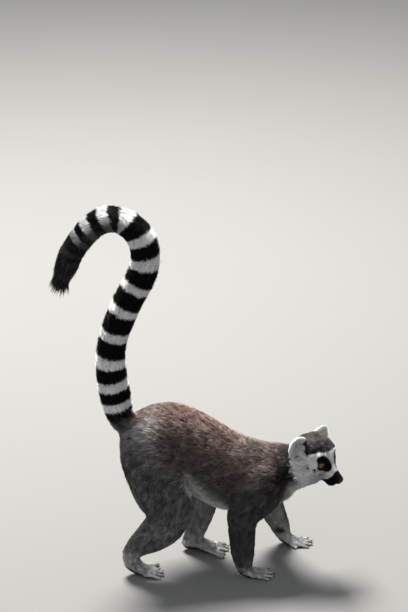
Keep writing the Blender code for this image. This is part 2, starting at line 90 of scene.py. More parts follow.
def noise(points: np.ndarray, cell: float, seed: int) -> np.ndarray:
    """Smooth noise over space.

    Args:
        points: places, one a row, in metres.
        cell: distance over which the noise changes, in metres.
        seed: picks one noise of many.

    Returns:
        A number from 0 to 1 for each place.
    """
    grid = points / cell
    low = np.floor(grid).astype(np.int64)
    share = grid - low
    share = share * share * (3 - 2 * share)
    total = np.zeros(len(points))
    for corner in np.ndindex(2, 2, 2):
        at = low + np.array(corner)
        mixed = np.full(len(points), seed * HASH_SEED)
        for axis, factor in enumerate(HASH_FACTORS):
            mixed = mixed ^ (at[:, axis] * factor)
        mixed = (mixed ^ (mixed >> 13)) * HASH_MIX
        value = ((mixed ^ (mixed >> 16)) & 0xFFFF) / 0xFFFF
        total += value * np.prod(np.where(corner, share, 1 - share), axis=1)
    return total


def diffuse(values: np.ndarray, edges: np.ndarray, rounds: int,
            share: Number = 1.0) -> np.ndarray:
    """Evens out values over a mesh. A vertex without neighbours keeps its values.

    Args:
        values: one row for each vertex.
        edges: pairs of vertex numbers.
        rounds: how often each vertex is blended with the mean of its neighbours.
        share: how much of that mean it takes, one number or one for each vertex.

    Returns:
        The evened values.
    """
    made = np.array(values, float)
    count = np.bincount(edges.ravel(), minlength=len(made))
    joined = share * (count > 0)
    count = np.maximum(count, 1)
    one, other = edges.T
    for _ in range(rounds):
        for column in made.T:
            total = np.bincount(one, column[other], len(made))
            total += np.bincount(other, column[one], len(made))
            column += joined * (total / count - column)
    return made


def add_object(name: str, mesh: bpy.types.Mesh) -> bpy.types.Object:
    """Links a mesh to the scene.

    Args:
        name: the new object's name.
        mesh: its mesh.

    Returns:
        The new object.
    """
    obj = bpy.data.objects.new(name, mesh)
    bpy.context.scene.collection.objects.link(obj)
    return obj


def from_bmesh(name: str, bm: bmesh.types.BMesh) -> bpy.types.Object:
    """Makes a smooth-shaded object and frees the bmesh.

    Args:
        name: the new object's name.
        bm: its shape.

    Returns:
        The new object.
    """
    mesh = bpy.data.meshes.new(name)
    bm.to_mesh(mesh)
    bm.free()
    mesh.shade_smooth()
    return add_object(name, mesh)


def applied(obj: bpy.types.Object) -> None:
    """Replaces an object's mesh by what its modifiers make of it.

    Args:
        obj: the object, which loses its modifiers.
    """
    bpy.context.view_layer.update()
    graph = bpy.context.evaluated_depsgraph_get()
    mesh = bpy.data.meshes.new_from_object(obj.evaluated_get(graph))
    obj.modifiers.clear()
    obj.data = mesh


def read(items: bpy.types.bpy_prop_collection, name: str, width: int,
         kind: type = np.float32) -> np.ndarray:
    """Reads one property of every item of a mesh.

    Args:
        items: the mesh's vertices, edges or triangles.
        name: the property.
        width: how many numbers it has.
        kind: the kind of number that the mesh keeps.

    Returns:
        The numbers, one row for each item.
    """
    found = np.empty(len(items) * width, kind)
    items.foreach_get(name, found)
    return found.reshape(-1, width).astype(float if kind is np.float32 else np.int64)


def store(mesh: bpy.types.Mesh, name: str, values: np.ndarray) -> None:
    """Stores three numbers for each vertex as an attribute of the mesh."""
    layer = mesh.attributes.new(name, "FLOAT_VECTOR", "POINT")
    layer.data.foreach_set("vector", values.astype(np.float32).ravel())


def place_vertices(bm: bmesh.types.BMesh, places: np.ndarray) -> None:
    """Moves the vertices of a bmesh to these places."""
    for vert, place in zip(bm.verts, places):
        vert.co = place


def corners(node: str) -> np.ndarray:
    """Returns the places of a CAD node's vertices."""
    return read(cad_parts[node].data.vertices, "co", 3)


# ---- body plan ----------------------------------------------------------------------------

class Region(Enum):
    """Kinds of place on the body, each with its own coat."""

    TRUNK = 0
    NECK = 1
    HEAD = 2
    EAR = 3
    UPPER_ARM = 4
    FOREARM = 5
    HAND = 6
    THIGH = 7
    SHANK = 8
    FOOT = 9
    TAIL = 10


@dataclass(frozen=True)
class FurKind:
    """How the coat grows on one region, in millimetres.

    depth runs from the skin to the tips, spacing is the mean distance between two tufts, and
    frost is how pale the tips of the hairs are, from 0 to 1.
    """

    depth: float
    length: float
    width: float
    spacing: float
    frost: float

    def row(self) -> tuple[float, ...]:
        """Returns the sizes in their order."""
        return self.depth, self.length, self.width, self.spacing, self.frost


FUR = {
    Region.TRUNK: FurKind(9.5, 18, 1.15, 1.52, 0.55),
    Region.NECK: FurKind(9.0, 17, 1.15, 1.45, 0.05),
    Region.HEAD: FurKind(5.0, 10, 0.8, 1.05, 0.40),
    Region.EAR: FurKind(1.2, 7.0, 0.70, 0.72, 0.0),
    Region.UPPER_ARM: FurKind(7.0, 15, 1.05, 1.42, 0.5),
    Region.FOREARM: FurKind(4.2, 12, 0.95, 1.24, 0.6),
    Region.HAND: FurKind(1.5, 5.0, 0.60, 0.76, 0.1),
    Region.THIGH: FurKind(8.5, 16, 1.15, 1.50, 0.95),
    Region.SHANK: FurKind(5.0, 13, 1.0, 1.30, 1.0),
    Region.FOOT: FurKind(1.6, 5.0, 0.60, 0.76, 0.1),
    Region.TAIL: FurKind(13.0, 23, 1.4, 1.54, 0.34),
}
FACE_FUR = FurKind(1.0, 3.4, 0.50, 0.62, 0.0)
SHARP = (Region.HEAD, Region.EAR, Region.TAIL)      # their markings have clear edges
TAIL_NODES = [f"tail_{number}" for number in range(1, 7)]


@dataclass(frozen=True)
class Part:
    """One CAD node of the body, between its neighbours, in the order in which the coat lies."""

    node: str
    region: Region
    before: str
    after: str | None


def body_parts() -> list[Part]:
    """Lists every node of flesh with its place in the body.

    Returns:
        The parts: trunk, neck and head, the tail, and then each side's ear and limbs.
    """
    parts = [Part("trunk", Region.TRUNK, "neck", "tail_1"),
             Part("neck", Region.NECK, "head", "trunk"),
             Part("head", Region.HEAD, "nose", "neck")]
    chain = ["trunk", *TAIL_NODES, None]
    parts += [Part(node, Region.TAIL, chain[i], chain[i + 2])
              for i, node in enumerate(TAIL_NODES)]
    for side in SIDES:
        parts.append(Part(f"ear_{side}", Region.EAR, "head", None))
        for names in (("upper_arm", "forearm", "hand"), ("thigh", "shank", "foot")):
            chain = ["trunk", *(f"{name}_{side}" for name in names), None]
            parts += [Part(chain[i + 1], Region[name.upper()], chain[i], chain[i + 2])
                      for i, name in enumerate(names)]
    return parts


PARTS = body_parts()
SEAM_GAP = 1.5 * MM                 # two nodes meet where their vertices are this close


def seam(one: str, other: str) -> np.ndarray:
    """Finds the middle of the cut where two CAD nodes meet.

    Args:
        one: the name of a node.
        other: the name of its neighbour.

    Returns:
        The place, in metres.
    """
    here, there = corners(one), corners(other)
    apart = np.linalg.norm(here[:, None] - there[None], axis=2).min(1)
    return here[apart < SEAM_GAP].mean(0)


def axis_of(part: Part) -> tuple[np.ndarray, np.ndarray]:
    """Finds a part's axis, in the order in which its coat lies.

    Args:
        part: the part.

    Returns:
        The start and the end of the axis.
    """
    start = seam(part.node, part.before)
    if part.after:
        return start, seam(part.node, part.after)
    places = corners(part.node)
    return start, places[np.linalg.norm(places - start, axis=1).argmax()]


@dataclass(frozen=True)
class HeadFrame:
    """The head's own axes. The origin lies between the eyes, a little ahead of their middles."""

    origin: np.ndarray
    axes: np.ndarray
    eye_ahead: float = -3.0
    eye_side: float = 17.8
    eye_up: float = 0.5
    nose_below: float = math.radians(20.4)      # the way to the nose, below the eyes' level

    @classmethod
    def measured(cls) -> "HeadFrame":
        """Takes the head's axes from the eyes and the nose of the CAD model.

        Returns:
            The frame.
        """
        left, right, nose = (np.array(sum(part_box(node), Vector())) / 2
                             for node in ("eye_left", "eye_right", "nose"))
        sideways = unit(left - right)
        forward = nose - (left + right) / 2
        forward = unit(forward - sideways * (forward @ sideways))
        upward = np.cross(forward, sideways)
        turn, lift = math.cos(cls.nose_below), math.sin(cls.nose_below)
        ahead = forward * turn + upward * lift
        axes = np.array([ahead, sideways, np.cross(ahead, sideways)])
        origin = (left + right) / 2 - MM * np.array([cls.eye_ahead, 0, cls.eye_up]) @ axes
        return cls(origin, axes)

    def local(self, points: np.ndarray) -> np.ndarray:
        """Returns places of the head in millimetres: ahead, to the left, up."""
        return (points - self.origin) @ self.axes.T / MM

    def mirrored(self, points: np.ndarray) -> np.ndarray:
        """Brings places of the head to its left side.

        Args:
            points: places in metres, one a row.

        Returns:
            The places in millimetres: ahead, aside, up.
        """
        made = self.local(points)
        made[:, 1] = np.abs(made[:, 1])
        return made

    def world(self, points: np.ndarray) -> np.ndarray:
        """Returns places in metres for millimetres in the head's own frame."""
        return np.asarray(points, float) * MM @ self.axes + self.origin

    def direction(self, vectors: np.ndarray) -> np.ndarray:
        """Returns directions of the head's own frame as directions in space."""
        return np.asarray(vectors, float) @ self.axes


HEAD = HeadFrame.measured()


class TailLine:
    """The curved middle line of the tail, from its root to its tip."""

    STEPS = 20                          # points of the line between two knots
    BLOCK = 4000                        # places that are compared with the line at a time

    def __init__(self) -> None:
        """Draws the line through the cuts between the tail's nodes and the middles of the nodes."""
        chain = ["trunk", *TAIL_NODES]
        knots = []
        for before, node in zip(chain, TAIL_NODES):
            knots += [seam(node, before), corners(node).mean(0)]
        last = corners(TAIL_NODES[-1])
        knots.append(last[np.linalg.norm(last - knots[-2], axis=1).argmax()])
        rows = np.array(knots)
        ends = np.vstack([2 * rows[0] - rows[1], rows, 2 * rows[-1] - rows[-2]])
        made = []
        for i in range(1, len(ends) - 2):
            before, start, end, after = ends[i - 1:i + 3]
            for t in np.arange(self.STEPS) / self.STEPS:
                made.append(0.5 * (2 * start + (end - before) * t
                                   + (2 * before - 5 * start + 4 * end - after) * t ** 2
                                   + (3 * start - before - 3 * end + after) * t ** 3))
        self.points = np.array(made + [rows[-1]])
        steps = np.linalg.norm(np.diff(self.points, axis=0), axis=1)
        self.run = np.concatenate([[0], np.cumsum(steps)])
        self.tangents = unit(np.gradient(self.points, axis=0))

    def nearest(self, places: np.ndarray) -> np.ndarray:
        """Finds the nearest point of the line.

        Args:
            places: points in space, one a row.

        Returns:
            The number of the line's point that is nearest to each place.
        """
        found = np.empty(len(places), int)
        for start in range(0, len(places), self.BLOCK):
            block = places[start:start + self.BLOCK]
            apart = ((block[:, None] - self.points[None]) ** 2).sum(2)
            found[start:start + self.BLOCK] = apart.argmin(1)
        return found


TAIL = TailLine()


# ---- markings -----------------------------------------------------------------------------

@dataclass(frozen=True)
class Surface:
    """Places of one region on the outline, and the way the outline faces at each."""

    region: Region
    places: np.ndarray
    normals: np.ndarray

    def patchy(self, cell: float, seed: int) -> np.ndarray:
        """Returns noise from -0.5 to 0.5, which makes the edges of the markings uneven."""
        return noise(self.places, cell, seed) - 0.5


@dataclass(frozen=True)
class LimbTone:
    """How white, black and russet a kind of limb is, and how white its inner side."""

    white: float = 0.0
    black: float = 0.0
    russet: float = 0.0
    inside: float = 0.7


LIMB_TONES = {
    Region.UPPER_ARM: LimbTone(black=0.62, russet=0.12),
    Region.FOREARM: LimbTone(black=0.46, inside=0.50),
    Region.HAND: LimbTone(white=0.66),
    Region.THIGH: LimbTone(black=0.36, russet=0.04, inside=0.50),
    Region.SHANK: LimbTone(black=0.02, inside=0.30),
    Region.FOOT: LimbTone(white=0.58),
}


@dataclass(frozen=True)
class Markings:
    """Where the coat is white, black or russet. Elsewhere it is grey.

    The recipe of each region returns three shares for each place: white, black and russet. A pair
    of numbers says where a share is 0 and where it is 1.
    """

    # On the trunk along X, in metres.
    hips: Span = (-0.105, -0.035)   # from the grey hips to the russet back
    rump: Span = (-0.045, -0.075)   # the frosted top of the rump, partly real frost and partly painted highlight
    withers: Span = (0.040, 0.085)  # the paler hump between the shoulders, partly painted highlight on its top
    shoulders: Span = (0.060, 0.120)    # the blackish shoulders
    groin: Span = (0.062, 0.045)    # the front and the rear end of the pale groin
    groin_rear: Span = (-0.030, -0.020)
    groin_line: Span = (0.167, -1.07)    # height of the groin's upper edge at X = 0, and its slope
    groin_edge: Span = (0.003, -0.005)    # from that line downwards
    # On the trunk by the way it faces, from -1 for down to 1 for up.
    belly: Span = (-0.30, -0.62)
    back: Span = (-0.10, 0.80)
    top: Span = (0.35, 0.95)
    # Round the root of the tail, in metres.
    warm_spot: Triple = (0.028, -0.003, 0.009)      # from the tail's root to a russet patch
    warm_reach: Span = (0.024, 0.012)
    root_reach: Span = (0.030, 0.023)               # the black fur round the root
    root_rear: Span = (0.012, 0.003)
    # On the neck by the way it faces.
    throat: Span = (-0.18, -0.48)
    nape: Span = (0.45, 0.95)
    # The bare gland inside each wrist: from the wrist to its middle, and its half sizes.
    gland: Triple = (-0.009, -0.0125, 0.0105)
    gland_size: Triple = (0.0095, 0.0100, 0.0058)
    # On the head in millimetres: ahead, aside and up.
    cap_edge: float = 9.0           # height of the cap's edge behind the ears
    cap_rise: float = 12.5          # how much higher it is over the eyes
    ear_base: Triple = (-40.0, 32.0, 11.0)    # middle of the white fur before each ear
    ear_spot: Triple = (-54.0, 44.0, 21.0)    # the dark spot inside each ear
    patch: Triple = (2.5, 17.7, 3.5)    # middle of the black patch of each eye
    patch_radius: float = 12.0
    # The way from there to each of its corners, and their reach.
    patch_corners: tuple[tuple[Triple, float], ...] = (
        ((-0.50, 0.41, 0.76), 4.2), ((0.75, -0.62, -0.25), 4.8))
    muzzle: float = 8.5             # where the black of the muzzle begins, at the chin
    # Dark spots on the cheek: ahead, aside and up on the head, radius and strength.
    spots: tuple[tuple[float, ...], ...] = (
        (-19.0, 44.5, -10.4, 2.4, 0.55), (-11.0, 39.7, -6.7, 2.2, 0.60),
        (-1.5, 31.3, -8.2, 2.8, 0.90), (-34.5, 40.3, 0.7, 3.2, 0.60),
        (-26.6, 39.1, 1.3, 3.0, 0.50), (-23.8, 31.6, 9.5, 3.4, 0.60))
    # Where each white ring of the tail starts and ends, in millimetres from the rump.
    rings: tuple[Span, ...] = (
        (19, 35), (54, 73), (94, 114), (144, 158), (190, 204), (234, 248), (275, 296),
        (316, 332), (354, 367), (376, 392), (406, 422), (430, 443), (457, 466))
    ring_edge: Span = (-0.06, 0.36)    # the cosine of the phase, at the edge of a white ring
    ring_margin: float = 0.02       # from the last ring to the middle of the black after it
    under: Span = (0.325, 0.395)    # from here on the rings fade underneath, in metres
    brush: Span = (0.420, 0.455)    # the tail darkens to its black brush, in metres

    def of(self, places: np.ndarray, normals: np.ndarray, regions: np.ndarray) -> np.ndarray:
        """Marks any places of the outline.

        Args:
            places: points of the outline, in metres.
            normals: the way the surface faces there.
            regions: the value of each place's Region.

        Returns:
            White, black and russet shares, one row for each place.
        """
        made = np.zeros((len(places), 3))
        recipes = {Region.TRUNK: self.trunk, Region.NECK: self.neck, Region.HEAD: self.head,
                   Region.EAR: self.ear, Region.TAIL: self.tail}
        for region in Region:
            here = regions == region.value
            if here.any():
                surface = Surface(region, places[here], normals[here])
                made[here] = recipes.get(region, self.limb)(surface)
        return np.clip(made, 0, 1)

    def trunk(self, at: Surface) -> np.ndarray:
        """Marks a russet back, browner flanks, grey hips, blackish shoulders and a cream belly.

        Args:
            at: places on the trunk.

        Returns:
            White, black and russet shares, one row for each place.
        """
        x, facing = at.places[:, 0], at.normals[:, 2]
        patchy = at.patchy(0.012, 3)
        ahead, front = ramp(x, *self.hips), ramp(x, *self.withers)
        back = ramp(facing + 0.35 * patchy, *self.back)
        top = ramp(facing + 0.2 * patchy, *self.top)

        belly = ramp(facing + 0.12 * patchy, *self.belly)
        line = self.groin_line[0] + self.groin_line[1] * x + 0.006 * patchy
        groin = ramp(at.places[:, 2] - line, *self.groin_edge) * ramp(x, *self.groin)
        white = np.maximum(0.85 * belly, 0.75 * groin * ramp(x, *self.groin_rear))

        offset = at.places - TAIL.points[0]
        warm = np.linalg.norm(offset - self.warm_spot, axis=1)
        russet = (0.06 + 0.34 * ahead) + back * (0.04 + 0.38 * ahead) * (1 - 0.5 * front)
        russet = np.maximum(russet, 0.95 * ramp(warm, *self.warm_reach))

        reach = np.linalg.norm(offset, axis=1) + 0.004 * patchy
        black = 0.64 * ahead * (1 - 0.95 * back)
        black = np.maximum(black, 0.95 * ramp(x, *self.shoulders) * (1 - 0.85 * top))
        black = np.maximum(black, 0.97 * ramp(reach, *self.root_reach)
                           * ramp(offset[:, 0], *self.root_rear))

        # Pale frost on the up-facing top of the rump and withers: partly real frost and partly a
        # painted highlight where light falls from above
        pale = 0.14 * back * np.maximum(ramp(x, *self.rump), 0.6 * front) * (1 - black)
        white = np.maximum(white, pale * ramp(warm, 0.014, 0.026))
        return np.stack([white, black * (1 - white), russet], 1)

    def neck(self, at: Surface) -> np.ndarray:
        """Marks blackish sides, a brown nape and a pale throat.

        Args:
            at: places on the neck.

        Returns:
            White, black and russet shares, one row for each place.
        """
        facing, patchy = at.normals[:, 2], at.patchy(0.010, 5)
        throat = ramp(facing + 0.15 * patchy, *self.throat)
        nape = ramp(facing + 0.2 * patchy, *self.nape)
        black = (1.0 - 0.45 * nape) * (1 - throat)
        return np.stack([throat, black, 0.20 + 0.15 * nape], 1)

    def limb(self, at: Surface) -> np.ndarray:
        """Marks grey limbs, pale on their inner sides, with pale hands and feet.

        Args:
            at: places on one kind of limb.

        Returns:
            White, black and russet shares, one row for each place.
        """
        tone = LIMB_TONES[at.region]
        outward = at.normals[:, 1] * np.sign(at.places[:, 1])
        inner = ramp(0.2 * at.patchy(0.011, 7) - outward, 0.30, 0.75)
        white = np.maximum(inner * tone.inside, tone.white + 0.12 * inner)
        return np.stack([white, tone.black * (1 - white), np.full_like(white, tone.russet)], 1)

    def glands(self, places: np.ndarray) -> np.ndarray:
        """Finds the bare dark gland inside each wrist.

        Args:
            places: points of the outline, in metres.

        Returns:
            How far each place belongs to a gland, from 0 to 1.
        """
        made = np.zeros(len(places))
        for side, sign in SIDES.items():
            wrist = seam(f"forearm_{side}", f"hand_{side}")
            spot = wrist + np.array(self.gland) * (1, sign, 1)
            apart = (places - spot) / self.gland_size
            made = np.maximum(made, ramp(np.linalg.norm(apart, axis=1), 1.25, 0.75))
        return made

    def head(self, at: Surface) -> np.ndarray:
        """Marks a white face with a dark cap, black patches round the eyes and a black muzzle.

        Args:
            at: places on the head.

        Returns:
            White, black and russet shares, one row for each place.
        """
        local = HEAD.mirrored(at.places)
        ahead, side, up = local.T
        patchy = at.patchy(0.005, 11)

        edge = self.cap_edge + self.cap_rise * ramp(ahead, -24, -8) + 2.5 * patchy
        cap = np.maximum(ramp(up - edge, -1.2, 1.4), ramp(ahead, -44, -50) * ramp(up, -4, 4))
        before_ear = np.linalg.norm(local - self.ear_base, axis=1) + 2 * patchy
        cap = cap * (1 - ramp(before_ear, 10.0, 7.0))

        line = self.muzzle + 9.0 * ramp(up, -25.5, -19.5) + 4.5 * ramp(up, -20, -9)
        muzzle = ramp(ahead - line + 1.2 * patchy, -0.8, 0.8)
        dark = cap * (0.50 + 0.44 * ramp(up - edge, 17, 7) * ramp(side, 8, 20))
        for *middle, radius, strength in self.spots:
            apart = np.linalg.norm(local - middle, axis=1) + 2.0 * patchy
            dark = np.maximum(dark, strength * ramp(apart, 1.3 * radius, 0.4 * radius))
        black = np.maximum(np.maximum(self.eye_patch(local, patchy), muzzle), dark)

        # Thin grey fur below the eyes, and fine grey flecks on the cheeks.
        grey = 0.36 * ramp(ahead, 22, 8) * ramp(ahead, -8, 4) * ramp(up, 4, -6)
        grey += 0.22 * ramp(noise(at.places, 0.0026, 12), 0.55, 0.85) * ramp(up, 12, 2)
        white = (0.95 - grey) * (1 - cap)
        return np.stack([white * (1 - black), black, 0.22 * cap], 1)

    def eye_patch(self, local: np.ndarray, patchy: np.ndarray) -> np.ndarray:
        """Finds the black patch round each eye: a disc drawn out to two corners.

        Args:
            local: places on the head, in millimetres on its left side.
            patchy: noise that makes the patch's edge uneven.

        Returns:
            How far each place belongs to a patch, from 0 to 1.
        """
        offset = local - self.patch
        reach = np.linalg.norm(offset, axis=1)
        limit = self.patch_radius
        for way, further in self.patch_corners:
            cosine = offset @ np.array(way) / np.maximum(reach, TINY)
            limit = limit + further * np.maximum(cosine, 0) ** 4
        return ramp(reach + 1.6 * patchy - limit, 0.9, -0.9)

    def ear(self, at: Surface) -> np.ndarray:
        """Marks white ears with a small dark spot inside.

        Args:
            at: places on the ears.

        Returns:
            White, black and russet shares, one row for each place.
        """
        apart = np.linalg.norm(HEAD.mirrored(at.places) - self.ear_spot, axis=1)
        dark = 0.5 * ramp(apart + 2 * noise(at.places, 0.004, 13), 4.5, 2.0)
        return np.stack([0.98 * (1 - dark), dark, np.zeros_like(dark)], 1)

    def tail(self, at: Surface) -> np.ndarray:
        """Marks white rings on black, closer together towards the black brush.

        Args:
            at: places on the tail.

        Returns:
            White, black and russet shares, one row for each place.
        """
        white = ramp(np.cos(2 * math.pi * self.phase(at.places)), *self.ring_edge)
        white = white * self.ring_strength(at.places, at.normals)
        return np.stack([white, 1 - white, np.zeros_like(white)], 1)

    def phase(self, places: np.ndarray) -> np.ndarray:
        """Counts the rings along the tail.

        Args:
            places: points on the tail, in metres.

        Returns:
            How many rings lie before each place: whole numbers are middles of white.
        """
        edges = [edge * MM for ring in self.rings for edge in ring]
        turns = [n + share for n in range(len(self.rings)) for share in (-0.25, 0.25)]
        run = TAIL.run[TAIL.nearest(places)]
        return np.interp(run, [0.0, *edges, edges[-1] + self.ring_margin],
                         [-0.5, *turns, turns[-1] + 0.25])

    def ring_strength(self, places: np.ndarray, normals: np.ndarray) -> np.ndarray:
        """Says how white the white rings are: they fade underneath and into the brush.

        Args:
            places: points on the tail, in metres.
            normals: the way the tail faces there.

        Returns:
            A share from 0 to 1 for each place.
        """
        run = TAIL.run[TAIL.nearest(places)]
        facing = normals[:, 2] - 0.3 * normals[:, 0]
        under = ramp(run, *self.under) * ramp(facing, 0.25, -0.25)
        return (1 - 0.80 * ramp(run, *self.brush)) * (1 - 0.75 * under)


MARKINGS = Markings()


# ---- finishes -----------------------------------------------------------------------------

class Nodes:
    """Adds and links the nodes of one tree."""

    def __init__(self, tree: bpy.types.NodeTree) -> None:
        """Keeps the tree."""
        self.tree = tree

    def add(self, kind: str, inputs: dict[str | int, Input] | None = None,
            **settings: object) -> bpy.types.Node:
        """Adds a node.

        Args:
            kind: the node's type, such as ShaderNodeMath.
            inputs: what goes into its sockets, by name or number: a value or another socket.
            settings: its other properties.

        Returns:
            The new node.
        """
        node = self.tree.nodes.new(kind)
        for name, value in settings.items():
            setattr(node, name, value)
        for name, value in (inputs or {}).items():
            if isinstance(value, bpy.types.NodeSocket):
                self.tree.links.new(value, node.inputs[name])
            else:
                node.inputs[name].default_value = value
        return node

    def math(self, operation: str, one: Input, other: Input, third: Input = 0.0,
             clamp: bool = False) -> bpy.types.NodeSocket:
        """Returns the result of a calculation with two or three numbers or sockets."""
        node = self.add("ShaderNodeMath", {0: one, 1: other, 2: third}, operation=operation,
                        use_clamp=clamp)
        return node.outputs[0]

    def mix(self, share: Input, one: Input, other: Input,
            blend: str = "MIX") -> bpy.types.NodeSocket:
        """Returns a mixture of two colours, with this share of the second one."""
        node = self.add("ShaderNodeMix", {0: share, 6: one, 7: other}, data_type="RGBA",
                        blend_type=blend)
        return node.outputs[2]

    def span(self, value: Input, low: float, high: float) -> bpy.types.NodeSocket:
        """Returns 0 where the value is at low, 1 where it is at high, and shares between."""
        return self.add("ShaderNodeMapRange", {0: value, 1: low, 2: high}).outputs[0]

    def split(self, name: str) -> list[bpy.types.NodeSocket]:
        """Reads a vertex attribute.

        Args:
            name: the attribute.

        Returns:
            Its three numbers.
        """
        kept = self.add("ShaderNodeAttribute", attribute_name=name)
        parts = self.add("ShaderNodeSeparateXYZ", {0: kept.outputs["Vector"]})
        return list(parts.outputs)

    def link(self, source: bpy.types.NodeSocket, target: bpy.types.NodeSocket) -> None:
        """Links one socket to another."""
        self.tree.links.new(source, target)


def new_group(name: str, inputs: dict[str, str], outputs: dict[str, str]
              ) -> tuple[bpy.types.NodeTree, bpy.types.Node, bpy.types.Node]:
    """Starts a shader node group.

    Args:
        name: the group's name.
        inputs: socket type by name.
        outputs: socket type by name.

    Returns:
        The group, its input node and its output node.
    """
    group = bpy.data.node_groups.new(name, "ShaderNodeTree")
    for way, sockets in (("INPUT", inputs), ("OUTPUT", outputs)):
        for title, kind in sockets.items():
            group.interface.new_socket(title, in_out=way, socket_type=kind)
    return group, group.nodes.new("NodeGroupInput"), group.nodes.new("NodeGroupOutput")


NUMBER, COLOUR = "NodeSocketFloat", "NodeSocketColor"
COAT_NUMBERS = ("White share", "Black share", "Russet share", "Along", "Tone", "Frost")
COAT_COLOURS = ("Grey", "Russet", "White", "Black", "Tip")
FINE_CELLS, BROAD_CELLS = 420.0, 75.0       # noise cells to a metre of coat
FROSTED = (0.40, 0.95)                      # where along a hair its pale tip begins and is full


def coat_colour_group() -> bpy.types.NodeTree:
    """Makes the group that turns markings into the colour of hair or skin.

    Returns:
        The group.
    """
    group, given, made = new_group("coat_colour",
                                   {**{name: NUMBER for name in COAT_NUMBERS},
                                    **{name: COLOUR for name in COAT_COLOURS}},
                                   {"Color": COLOUR})
    nodes = Nodes(group)
    take = given.outputs
    place = nodes.add("ShaderNodeTexCoord").outputs["Object"]
    fine = nodes.add("ShaderNodeTexNoise",
                     {"Vector": place, "Scale": FINE_CELLS, "Detail": 3.0})
    broad = nodes.add("ShaderNodeTexNoise",
                      {"Vector": place, "Scale": BROAD_CELLS, "Detail": 2.0})
    colour = nodes.mix(take["Russet share"], take["Grey"], take["Russet"])
    colour = nodes.mix(take["White share"], colour, take["White"])
    colour = nodes.mix(take["Black share"], colour, take["Black"])
    frost = nodes.math("MULTIPLY", nodes.span(take["Along"], *FROSTED), take["Frost"])
    colour = nodes.mix(frost, colour, take["Tip"])
    # Each tuft is a little darker or lighter than its neighbours, and darker at its root: painted
    # shade deep in the coat.
    tone = nodes.math("MULTIPLY_ADD", take["Tone"], 0.9, 0.52)
    spot = nodes.math("MULTIPLY_ADD", fine.outputs["Fac"], 0.7, 0.66)
    wide = nodes.math("MULTIPLY_ADD", broad.outputs["Fac"], 0.5, 0.76)
    # painted shade: the roots of the hair are darkened as if shaded by the coat above them
    root = nodes.math("MULTIPLY_ADD", take["Along"], 0.45, 0.70)
    light = nodes.math("MULTIPLY", nodes.math("MULTIPLY", tone, spot),
                       nodes.math("MULTIPLY", wide, root))
    # White hair varies less than dark hair.
    even = nodes.math("MULTIPLY_ADD", light, 0.35, 0.65)
    shade = nodes.add("ShaderNodeMix", {0: take["White share"], 2: light, 3: even}).outputs[0]
    grey = nodes.add("ShaderNodeCombineColor", {0: shade, 1: shade, 2: shade})
    nodes.link(nodes.mix(1.0, colour, grey.outputs[0], "MULTIPLY"), made.inputs["Color"])
    return group


def grain_group() -> bpy.types.NodeTree:
    """Makes the group that gives the fine relief of bare skin, horn and short hair.

    Returns:
        The group.
    """
    group, given, made = new_group("fine_grain", {"Pebbles": NUMBER, "Hairs": NUMBER},
                                   {"Height": NUMBER})
    nodes = Nodes(group)
    place = nodes.add("ShaderNodeTexCoord").outputs["Object"]
    pebbles = nodes.add("ShaderNodeTexVoronoi",
                        {"Vector": place, "Scale": given.outputs["Pebbles"]})
    hairs = nodes.add("ShaderNodeTexNoise",
                      {"Vector": place, "Scale": given.outputs["Hairs"], "Detail": 4.0})
    height = nodes.math("ADD", pebbles.outputs["Distance"], hairs.outputs["Fac"])
    nodes.link(height, made.inputs["Height"])
    return group


GRAIN = grain_group()
COAT_COLOUR = coat_colour_group()


def new_material(name: str, **values: float
                 ) -> tuple[bpy.types.Material, Nodes, bpy.types.Node]:
    """Starts a material.

    Args:
        name: the material's name.
        values: constants of its shader, by socket, with _ for each space.

    Returns:
        The material, its Nodes and its Principled BSDF.
    """
    material = bpy.data.materials.new(name)
    material.use_nodes = True
    shader = material.node_tree.nodes["Principled BSDF"]
    for socket, value in values.items():
        shader.inputs[socket.replace("_", " ")].default_value = value
    return material, Nodes(material.node_tree), shader


@dataclass(frozen=True)
class Relief:
    """A fine relief: cells to a metre of its pebbles and its hairs, and how strong it is."""

    pebbles: float
    hairs: float
    strength: float
    height: float

    def add(self, nodes: Nodes, shader: bpy.types.Node) -> bpy.types.NodeSocket:
        """Adds the relief to a material.

        Args:
            nodes: the material's nodes.
            shader: its Principled BSDF.

        Returns:
            The height of the relief.
        """
        grain = nodes.add("ShaderNodeGroup", node_tree=GRAIN)
        grain.inputs["Pebbles"].default_value = self.pebbles
        grain.inputs["Hairs"].default_value = self.hairs
        bump = nodes.add("ShaderNodeBump", {"Height": grain.outputs[0],
                                            "Strength": self.strength, "Distance": self.height})
        nodes.link(bump.outputs[0], shader.inputs["Normal"])
        return grain.outputs[0]


